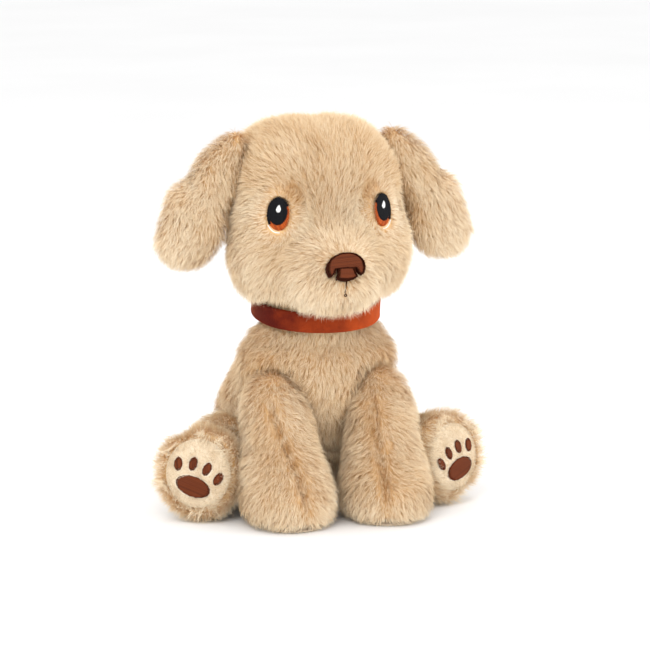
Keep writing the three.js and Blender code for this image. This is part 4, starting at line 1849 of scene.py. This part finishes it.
            lift = height * (1.0 - 0.6 * (2 * shares) ** 4)
            lift[-1] = -self.root
            threads.append((plate.place(flat, lift), np.tile(plate.normal, (5, 1))))
        return threads


class Face:
    """The embroidered eyes, nose and mouth."""

    def __init__(self) -> None:
        """Notes the head's middle, which says which way is out."""
        self.inside = middle("head_cover")

    def settle(self, piece: bpy.types.Object, material: bpy.types.Material, slot: str, *nodes: str) -> None:
        """Dresses one piece of embroidery and joins it to the head."""
        dress_piece(piece, material, "head", slot, *nodes)
        LOG.info("embroidered %s", piece.name)

    def eye(self, side: Side, finishes: Finishes) -> None:
        """One eye: amber crescent, black pupil and outline, white shine and white lower rim.

        Args:
            side: which side.
            finishes: the puppy's finishes.
        """
        word, sign = side.word, side.value
        stitches = Stitches()
        fine = Stitches(thread=0.34 * MM, height=0.4 * MM)
        iris = Plate(f"{word}_eye_iris", self.inside)
        pupil = Plate(f"{word}_eye_pupil", self.inside)
        shine = Plate(f"{word}_eye_highlight", self.inside)
        rim = Plate(f"{word}_eye_rim", self.inside)
        low = (pupil.origin - iris.origin) @ iris.normal
        base = 0.5 * MM
        amber = stitches.piece(f"{word}_eye_amber", stitches.fill(iris, 62 * sign, base, 0.3 * MM, 11), 12)
        self.settle(amber, finishes.amber, "amber_thread", f"{word}_eye_iris")
        black = stitches.fill(pupil, 90, base + 0.55 * MM - low, 0.45 * MM, 21)
        arc = (0.12, 0.63) if side is Side.RIGHT else (-0.13, 0.38)
        black += stitches.border(iris, 2.6 * MM, 1.15 * MM, 22, arc, -0.35 * MM)
        dark = stitches.piece(f"{word}_eye_black", black, 23)
        self.settle(dark, finishes.black, "black_thread", f"{word}_eye_pupil")
        lift = (shine.origin - iris.origin) @ iris.normal
        high = np.clip(shine.outline[:, 1] / shine.outline[:, 1].max(), 0.0, 1.0)
        shine.outline = shine.outline * np.stack([1.15 - 0.8 * high**1.5, 1.1 + 0.25 * high], 1)
        shine.outline[:, 0] += 0.5 * MM * high
        white = fine.fill(shine, 90, base + 1.15 * MM - lift, 0.35 * MM, 31)
        glint = fine.piece(f"{word}_eye_shine", white, 32)
        self.settle(glint, finishes.white, "white_thread", f"{word}_eye_highlight")
        edge = fine.piece(f"{word}_eye_lower_rim", self.rim_thread(rim), 33)
        self.settle(edge, finishes.white, "white_thread", f"{word}_eye_rim")

    @staticmethod
    def rim_thread(rim: Plate) -> list:
        """Two threads that run along the crescent's length.

        Args:
            rim: the lower rim's plate.

        Returns:
            Centre lines and outward directions.
        """
        ring = rim.outline
        far = np.linalg.norm(ring[:, None] - ring[None], axis=2)
        first, last = np.unravel_index(far.argmax(), far.shape)
        first, last = sorted((int(first), int(last)))
        one = ring[first : last + 1]
        other = np.concatenate([ring[last:], ring[: first + 1]])[::-1]
        marks = np.linspace(0, 1, 26)
        sides = []
        for edge in (one, other):
            walk = np.concatenate([[0.0], np.cumsum(np.linalg.norm(np.diff(edge, axis=0), axis=1))])
            sides.append(np.stack([np.interp(marks * walk[-1], walk, edge[:, k]) for k in (0, 1)], 1))
        threads = []
        for share in (0.3, 0.7):
            flat = sides[0] * share + sides[1] * (1 - share)
            lift = 0.95 * MM + 0.12 * MM * np.sin(marks * 40)
            threads.append((rim.place(flat, lift), np.tile(rim.normal, (len(flat), 1))))
        return threads

    def nose(self, finishes: Finishes) -> None:
        """The nose: level satin threads on cap and base, in a dark edge that goes down to the muzzle."""
        stitches = Stitches(thread=0.42 * MM, height=0.6 * MM, vary=0.1, root=1.8 * MM)
        for number, node in enumerate(("nose_cap", "nose_base")):
            plate = Plate(node, self.inside)
            lean = 4.0 if node == "nose_cap" else -3.0
            rows = stitches.fill(plate, lean, 0.7 * MM, 0.9 * MM, 41 + number)
            satin = stitches.piece(f"{node}_satin", rows, 43 + number)
            self.settle(satin, finishes.brown, "brown_thread", node)
            edge = stitches.border(plate, 1.5 * MM, 1.5 * MM, 45 + number, grow=0.15 * MM)
            edge += stitches.wall(plate, 5.0 * MM)
            self.settle(stitches.piece(f"{node}_edge", edge, 47 + number), finishes.edge, "brown_thread")

    def mouth(self, finishes: Finishes) -> None:
        """The mouth: a two-ply thread down from the nose, ending in a wrapped knot.

        Args:
            finishes: the puppy's finishes.
        """
        points = node_points("mouth_thread")
        reach = points[:, 2]
        top = points[reach > reach.max() - 0.8 * MM].mean(0)
        bottom = points[reach < reach.min() + 0.8 * MM].mean(0)
        forward = np.array((0.0, -0.5 * MM, 0.0))
        ply = Stitches(thread=0.5 * MM, height=0.55 * MM)
        shares = np.linspace(-0.4, 1.12, 40)
        line = top + forward + shares[:, None] * (bottom - top)
        threads = []
        for phase in (0.0, math.pi):
            turn = shares * 2 * math.pi * 4 + phase
            offset = 0.24 * MM * np.stack([np.cos(turn), np.sin(turn), np.zeros_like(turn)], 1)
            threads.append((line + offset, np.tile(np.array((0.0, -1.0, 0.0)), (len(line), 1))))
        self.settle(ply.piece("mouth_line", threads, 51), finishes.edge, "brown_thread", "mouth_thread")
        centre = middle("mouth_knot") + forward
        radius = float(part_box("mouth_knot")[1].x - centre[0])
        loops = []
        for number in range(5):
            tilt = number * math.pi / 5 + 0.3
            turn = np.linspace(0, 2 * math.pi, 22)
            side = np.array((math.cos(tilt), 0.35 * math.sin(3 * tilt), math.sin(tilt)))
            rise = unit(np.cross(side, np.array((0.2, -1.0, 0.3))))
            out = np.cos(turn)[:, None] * unit(side) + np.sin(turn)[:, None] * rise
            loops.append((centre + out * radius * 0.75, unit(out)))
        self.settle(ply.piece("mouth_french_knot", loops, 52), finishes.edge, "brown_thread", "mouth_knot")

    def build(self, finishes: Finishes) -> None:
        """Embroiders the whole face.

        Args:
            finishes: the puppy's finishes.
        """
        for side in Side:
            self.eye(side, finishes)
        self.nose(finishes)
        self.mouth(finishes)


# ---------------------------------------------------------------- soles and pads


@dataclass
class Sole:
    """A sole of short pile, sewn round its edge."""

    node: str
    body: str
    inside: np.ndarray
    crown: float = 0.8 * MM
    nap: float = 1.1 * MM
    seed: int = 1
    size: float = 0.97
    pads: Near = Near()  # embroidery that no nap grows under
    rings: int = 14
    around: int = 72
    stitches: int = 58
    nap_density: float = 7.0  # strands on a square millimetre

    def build(self, finishes: Finishes) -> None:
        """Makes the puffed sole, its nap and its edge stitches.

        Args:
            finishes: the puppy's finishes.
        """
        plate = Plate(self.node, self.inside)
        plate.outline = plate.outline * self.size
        rings, around = self.rings, self.around
        turn = np.arange(around) * (2 * math.pi / around)
        edge = self.edge(plate, turn)
        points = [plate.place(np.zeros((1, 2)), np.array([plate.thickness + self.swell(0.0)]))]
        for ring in range(1, rings + 1):
            share = ring / rings
            flat = edge * share
            lift = plate.thickness * (1 - 0.75 * share**10) + self.swell(share)
            lift = lift + 0.35 * MM * wander(plate.place(flat, 0 * turn), 14 * MM, self.seed) * (1 - share**4)
            points.append(plate.place(flat, lift))
        points.append(plate.place(edge * 0.98, 0 * turn + 0.05 * MM))
        points.append(plate.place(edge * 0.5, 0 * turn + 0.05 * MM))
        points.append(plate.place(np.zeros((1, 2)), np.array([0.05 * MM])))
        faces = [(0, 1 + k, 1 + (k + 1) % around) for k in range(around)]
        for ring in range(rings + 1):
            low, high = 1 + ring * around, 1 + (ring + 1) * around
            for k in range(around):
                step = (k + 1) % around
                faces.append((low + k, high + k, high + step, low + step))
        last, end = 1 + (rings + 1) * around, 1 + (rings + 2) * around
        faces += [(last + k, end, last + (k + 1) % around) for k in range(around)]
        piece = mesh_object(f"{self.node}_fabric", self.grounded(np.concatenate(points)), faces)
        dress_piece(piece, finishes.pile, self.body, "sole_plush", self.node)
        if self.nap > 0.0:
            self.nap_piece(piece, plate, finishes)
        stitches = Stitches(thread=0.5 * MM, height=0.4 * MM)
        seam = stitches.piece(f"{self.node}_seam", self.seam(plate), self.seed + 3)
        write_points(seam.data, self.grounded(read_points(seam.data)))
        dress_piece(seam, finishes.pile, self.body, "sole_plush")
        LOG.info("sewed %s", self.node)

    @staticmethod
    def grounded(points: np.ndarray) -> np.ndarray:
        """Points with none of them under the floor.

        Args:
            points: places, one a row.

        Returns:
            The raised points.
        """
        raised = points.copy()
        raised[:, 2] = np.maximum(raised[:, 2], 0.02 * MM)
        return raised

    def swell(self, share: float) -> float:
        """How far the stuffing pushes the sole out at a share of its radius."""
        return self.crown * (1 - share**2)

    @staticmethod
    def edge(plate: Plate, turn: np.ndarray) -> np.ndarray:
        """The sole's edge at each turn, from the plate's outline.

        Args:
            plate: the sole's plate.
            turn: turns round the sole.

        Returns:
            Points in the plate's plane.
        """
        ring = plate.outline
        angle = np.arctan2(ring[:, 1], ring[:, 0])
        order = np.argsort(angle)
        radius = np.linalg.norm(ring, axis=1)[order]
        whole = 2 * math.pi
        reach = np.interp((turn + math.pi) % whole - math.pi, angle[order], radius, period=whole)
        return np.stack([np.cos(turn), np.sin(turn)], 1) * reach[:, None]

    def nap_piece(self, piece: bpy.types.Object, plate: Plate, finishes: Finishes) -> None:
        """Short strands over the sole's outer face.

        Args:
            piece: the piece.
            plate: the sole's plate.
            finishes: the puppy's finishes.
        """
        draw = np.random.default_rng(self.seed)
        skin = Skin(read_points(piece.data), read_normals(piece.data), read_triangles(piece.data))
        facing = (skin.normals[skin.triangles].mean(1) @ plate.normal) > 0.2
        corners = skin.points[skin.triangles[facing]]
        sides = corners[:, 1] - corners[:, 0], corners[:, 2] - corners[:, 0]
        area = np.linalg.norm(np.cross(*sides), axis=1)
        count = int(area.sum() / 2 / MM**2 * self.nap_density)
        chosen = np.searchsorted(np.cumsum(area) / area.sum(), draw.random(count)).clip(0, len(area) - 1)
        mixes = np.sort(draw.random((count, 2)), axis=1)
        weights = np.stack([mixes[:, 0], mixes[:, 1] - mixes[:, 0], 1 - mixes[:, 1]], 1)
        roots = (corners[chosen] * weights[:, :, None]).sum(1)
        normals = np.tile(plate.normal, (count, 1))
        clear = self.pads.distance(roots) > 0.9 * MM
        roots, normals, count = roots[clear], normals[clear], int(clear.sum())
        lean = unit(draw.normal(size=(count, 3)) * 0.5 + plate.up * -0.4 + normals * 0.9)
        reach = self.nap * draw.uniform(0.6, 1.1, count)[:, None]
        tips = roots + lean * reach
        tips[:, 2] = np.maximum(tips[:, 2], 0.02 * MM)
        flat = unit(np.cross(lean, draw.normal(size=(count, 3))))
        tone = 0.82 + 0.08 * draw.normal(size=count) + 0.08 * wander(roots, 16 * MM, self.seed)
        tone = np.clip(tone, 0.02, 0.98)
        nap = Strands(roots, (roots + tips) / 2, tips, flat, np.full(count, 0.24 * MM), tone)
        made = nap.mesh(f"{self.node}_nap", np.ones(count, bool))
        dress_piece(made, finishes.nap, self.body, "sole_plush")

    def seam(self, plate: Plate) -> list:
        """Small stitches over the sole's edge.

        Args:
            plate: the sole's plate.

        Returns:
            Centre lines and outward directions.
        """
        threads = []
        for turn in np.linspace(0, 2 * math.pi, self.stitches, endpoint=False):
            edge = self.edge(plate, np.array([turn]))[0]
            out = unit(edge)
            flat = edge - out * np.array([1.6, 1.1, 0.6, 0.1])[:, None] * MM
            lift = plate.thickness * np.array([0.75, 1.1, 1.05, 0.4])
            threads.append((plate.place(flat, lift), np.tile(plate.normal, (4, 1))))
        return threads


class FootPrint:
    """The embroidered heel and toe pads of one hind sole."""

    def __init__(self, side: Side) -> None:
        """Notes the pads' nodes."""
        self.side = side
        self.nodes = [f"{side.word}_heel_pad"] + [f"{side.word}_toe_pad_{toe}" for toe in (1, 2, 3, 4)]

    def build(self, inside: np.ndarray, finishes: Finishes) -> None:
        """Stitches each pad with a darker edge.

        Args:
            inside: a point behind the pads.
            finishes: the puppy's finishes.
        """
        stitches = Stitches(thread=0.42 * MM, height=0.5 * MM)
        for number, node in enumerate(self.nodes):
            plate = Plate(node, inside)
            lean = 20.0 if "heel" in node else 84.0
            rows = stitches.fill(plate, lean * self.side.value, 0.7 * MM, 0.6 * MM, 61 + number)
            pad = stitches.piece(f"{node}_satin", rows, 71 + number)
            rim = stitches.border(plate, 0.9 * MM, 1.0 * MM, 81 + number)
            edge = stitches.piece(f"{node}_edge", rim, 91)
            body = f"{self.side.word}_hind_leg"
            dress_piece(pad, finishes.brown, body, "brown_thread", node)
            dress_piece(edge, finishes.pad_edge, body, "brown_thread")
        LOG.info("stitched the %s footprint", self.side.word)


# ---------------------------------------------------------------- collar and neck


@dataclass
class Collar:
    """A velvet ribbon round the neck, rolled at its edges and closed at the back."""

    around: int = 180
    section_points: int = 28
    stitches: int = 9
    roll: float = 0.25 * MM

    def __post_init__(self) -> None:
        """Reads the ring's axis, radii and edges from the frame."""
        points = node_points("collar_band")
        self.centre = points.mean(0)
        axes = np.linalg.svd(points - self.centre)[2]
        self.axis = axes[2] * math.copysign(1.0, axes[2][2])
        self.ahead = unit(np.array((0.0, -1.0, 0.0)) + self.axis[1] * self.axis)
        self.left = np.cross(self.ahead, self.axis) * -1.0
        height = (points - self.centre) @ self.axis
        radius = np.linalg.norm((points - self.centre) - height[:, None] * self.axis, axis=1)
        self.low, self.high = float(height.min()), float(height.max())
        self.inner, self.outer = float(radius.min()), float(radius.max())

    def place(self, turn: np.ndarray, radius: np.ndarray, height: np.ndarray) -> np.ndarray:
        """Points at a turn from the front, a radius and a height."""
        return (
            self.centre
            + (radius * np.cos(turn))[:, None] * self.ahead
            + (radius * np.sin(turn))[:, None] * self.left
            + height[:, None] * self.axis
        )

    def section(self) -> np.ndarray:
        """The ribbon's section: radius and height, a soft slab with rolled edges.

        Returns:
            A radius and a height, one pair a row.
        """
        middle_radius = (self.inner + self.outer) / 2
        half_thick = (self.outer - self.inner) / 2
        half_high = (self.high - self.low) / 2
        turn = np.linspace(0, 2 * math.pi, self.section_points, endpoint=False)
        cosine, sine = np.cos(turn), np.sin(turn)
        fat = np.sign(cosine) * np.abs(cosine) ** 0.5 * half_thick
        tall = np.sign(sine) * np.abs(sine) ** 0.32 * half_high
        off_edge = (np.abs(tall) - half_high + 1.2 * MM) / (0.8 * MM)
        rolled = self.roll * np.exp(-(off_edge**2)) * (cosine > 0)
        return np.stack([middle_radius + fat + rolled, (self.low + self.high) / 2 + tall], 1)

    def build(self, finishes: Finishes) -> None:
        """Makes the ribbon and its closing seam.

        Args:
            finishes: the puppy's finishes.
        """
        section = self.section()
        count = len(section)
        points = []
        for step in range(self.around):
            turn = step * 2 * math.pi / self.around
            ripple = 0.12 * MM * math.sin(5 * turn + 0.7) + 0.08 * MM * math.sin(11 * turn)
            tilt = 0.25 * MM * math.sin(3 * turn + 1.2)
            spot = np.full(count, turn)
            points.append(self.place(spot, section[:, 0] + ripple, section[:, 1] + tilt))
        faces = []
        for step in range(self.around):
            here, there = step * count, ((step + 1) % self.around) * count
            for k in range(count):
                faces.append((here + k, there + k, there + (k + 1) % count, here + (k + 1) % count))
        ribbon = mesh_object("collar_ribbon", np.concatenate(points), faces)
        dress_piece(ribbon, finishes.velvet, "collar", "collar_velvet", "collar_band")
        self.seam(finishes)
        LOG.info("sewed collar_ribbon")

    def seam(self, finishes: Finishes) -> None:
        """A row of stitches across the ribbon at the back.

        Args:
            finishes: the puppy's finishes.
        """
        stitches = Stitches(thread=0.5 * MM, height=0.35 * MM)
        threads = []
        span = self.high - self.low
        for number in range(self.stitches):
            share = (number + 0.7) / 9.4
            height = np.full(4, self.low + share * span)
            turn = math.pi + np.array([-0.6, -0.2, 0.2, 0.6]) * 1.4 * MM / self.outer
            radius = self.outer + np.array([-0.1, 0.28, 0.28, -0.1]) * MM
            path = self.place(turn, radius, height)
            out = path - self.centre
            threads.append((path, unit(out - (out @ self.axis)[:, None] * self.axis)))
        seam = stitches.piece("collar_seam_stitches", threads, 702)
        dress_piece(seam, finishes.edge, "collar", "collar_velvet")


# ---------------------------------------------------------------- the studio


@dataclass
class Studio:
    """A pale floor, soft lights and the camera."""

    turn: float = -17.0  # degrees round from straight ahead
    rise: float = 10.0
    distance: float = 1.9
    lens: float = 170.0
    aim: tuple[float, float, float] = (9.5 * MM, -30.0 * MM, 110.8 * MM)
    glow: float = 1.03  # the strength of the light all round
    floor_reach: float = 6.0

    def build(self) -> None:
        """Sets the camera, the lights, the world and the floor."""
        self.camera()
        self.light("key", (-0.75, -1.25, 1.2), 0.9, 11.0)
        self.light("fill", (1.2, -1.2, 0.6), 1.2, 7.0)
        self.light("top", (0.1, 0.4, 1.7), 1.2, 4.0)
        scene = bpy.context.scene
        scene.view_settings.view_transform = "Standard"
        world = bpy.data.worlds.new("studio")
        world.use_nodes = True
        sky = world.node_tree.nodes["Background"].inputs
        sky["Color"].default_value = (1.0, 1.0, 1.0, 1.0)
        sky["Strength"].default_value = self.glow
        scene.world = world
        self.floor()

    def camera(self) -> None:
        """The camera, a little above the puppy and to its right."""
        data = bpy.data.cameras.new("camera")
        data.lens = self.lens
        data.sensor_width = 36.0
        data.clip_end = 50.0
        made = add_object("camera", data)
        turn, rise = math.radians(self.turn), math.radians(self.rise)
        out = Vector((math.sin(turn) * math.cos(rise), -math.cos(turn) * math.cos(rise), math.sin(rise)))
        made.location = Vector(self.aim) + out * self.distance
        made.rotation_euler = (-out).to_track_quat("-Z", "Y").to_euler()
        bpy.context.scene.camera = made

    def light(self, name: str, place: tuple[float, float, float], size: float, power: float) -> None:
        """One soft square light that looks at the puppy.

        Args:
            name: its name.
            place: where it stands.
            size: its width.
            power: its power in watts.
        """
        data = bpy.data.lights.new(name, "AREA")
        data.size = size
        data.energy = power
        made = add_object(name, data)
        made.location = place
        made.rotation_euler = (Vector(self.aim) - Vector(place)).to_track_quat("-Z", "Y").to_euler()

    def floor(self) -> None:
        """A wide pale floor."""
        reach = self.floor_reach
        corners = np.array([(-reach, -reach, 0), (reach, -reach, 0), (reach, reach, 0), (-reach, reach, 0)])
        made = mesh_object("studio_floor", corners, [(0, 1, 2, 3)])
        sheet = NodeSheet("pale_floor")
        grain = sheet.noise(3.0, 2.0)
        tone = sheet.ramp(grain, [(0.3, colour(246, 246, 246)), (0.7, colour(249, 249, 249))])
        sheet.link(tone, sheet.shader.inputs["Base Color"])
        sheet.constants(Roughness=0.9, Specular_IOR_Level=0.1)
        made.data.materials.append(sheet.material)


def dress_neck(finishes: Finishes) -> None:
    """The neck's core stays as it is in the frame, in backing fabric.

    Args:
        finishes: the puppy's finishes.
    """
    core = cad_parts["neck_core"]
    core.data.materials.clear()
    core.data.materials.append(finishes.backing)


def main() -> None:
    """Builds the puppy piece by piece."""
    logging.basicConfig(level=logging.INFO, format="%(name)s: %(message)s")
    Studio().build()
    finishes = Finishes()
    parts: list[StuffedPart] = [Head(), Torso(), Tail()]
    parts += [
        FrontLeg(Side.LEFT, -6 * MM, -7 * MM),
        FrontLeg(Side.RIGHT, 13 * MM, -4 * MM),
    ]
    for side in Side:
        parts += [HindLeg(side), Ear(side)]
    for part in parts:
        part.sew()
        part.dress(finishes)
        LOG.info("sewed %s: %d points", part.name, len(part.skin.points))
    find_clearances(parts)
    for part in parts:
        part.grow(finishes)
        LOG.info("set the coat on %s", part.name)
    Face().build(finishes)
    for number, side in enumerate(Side):
        word = side.word
        footprint = FootPrint(side)
        behind = middle(f"{word}_hind_leg_cover")
        pads = Near(*footprint.nodes)
        hind = Sole(f"{word}_hind_sole", f"{word}_hind_leg", behind, seed=801 + number, pads=pads)
        hind.build(finishes)
        above = middle(f"{word}_front_sole") + 30 * MM * UP
        Sole(f"{word}_front_sole", f"{word}_front_leg", above, 0.0, 0.0, 811 + number).build(finishes)
        footprint.build(behind, finishes)
    Collar().build(finishes)
    dress_neck(finishes)


if __name__ == "__main__":
    main()
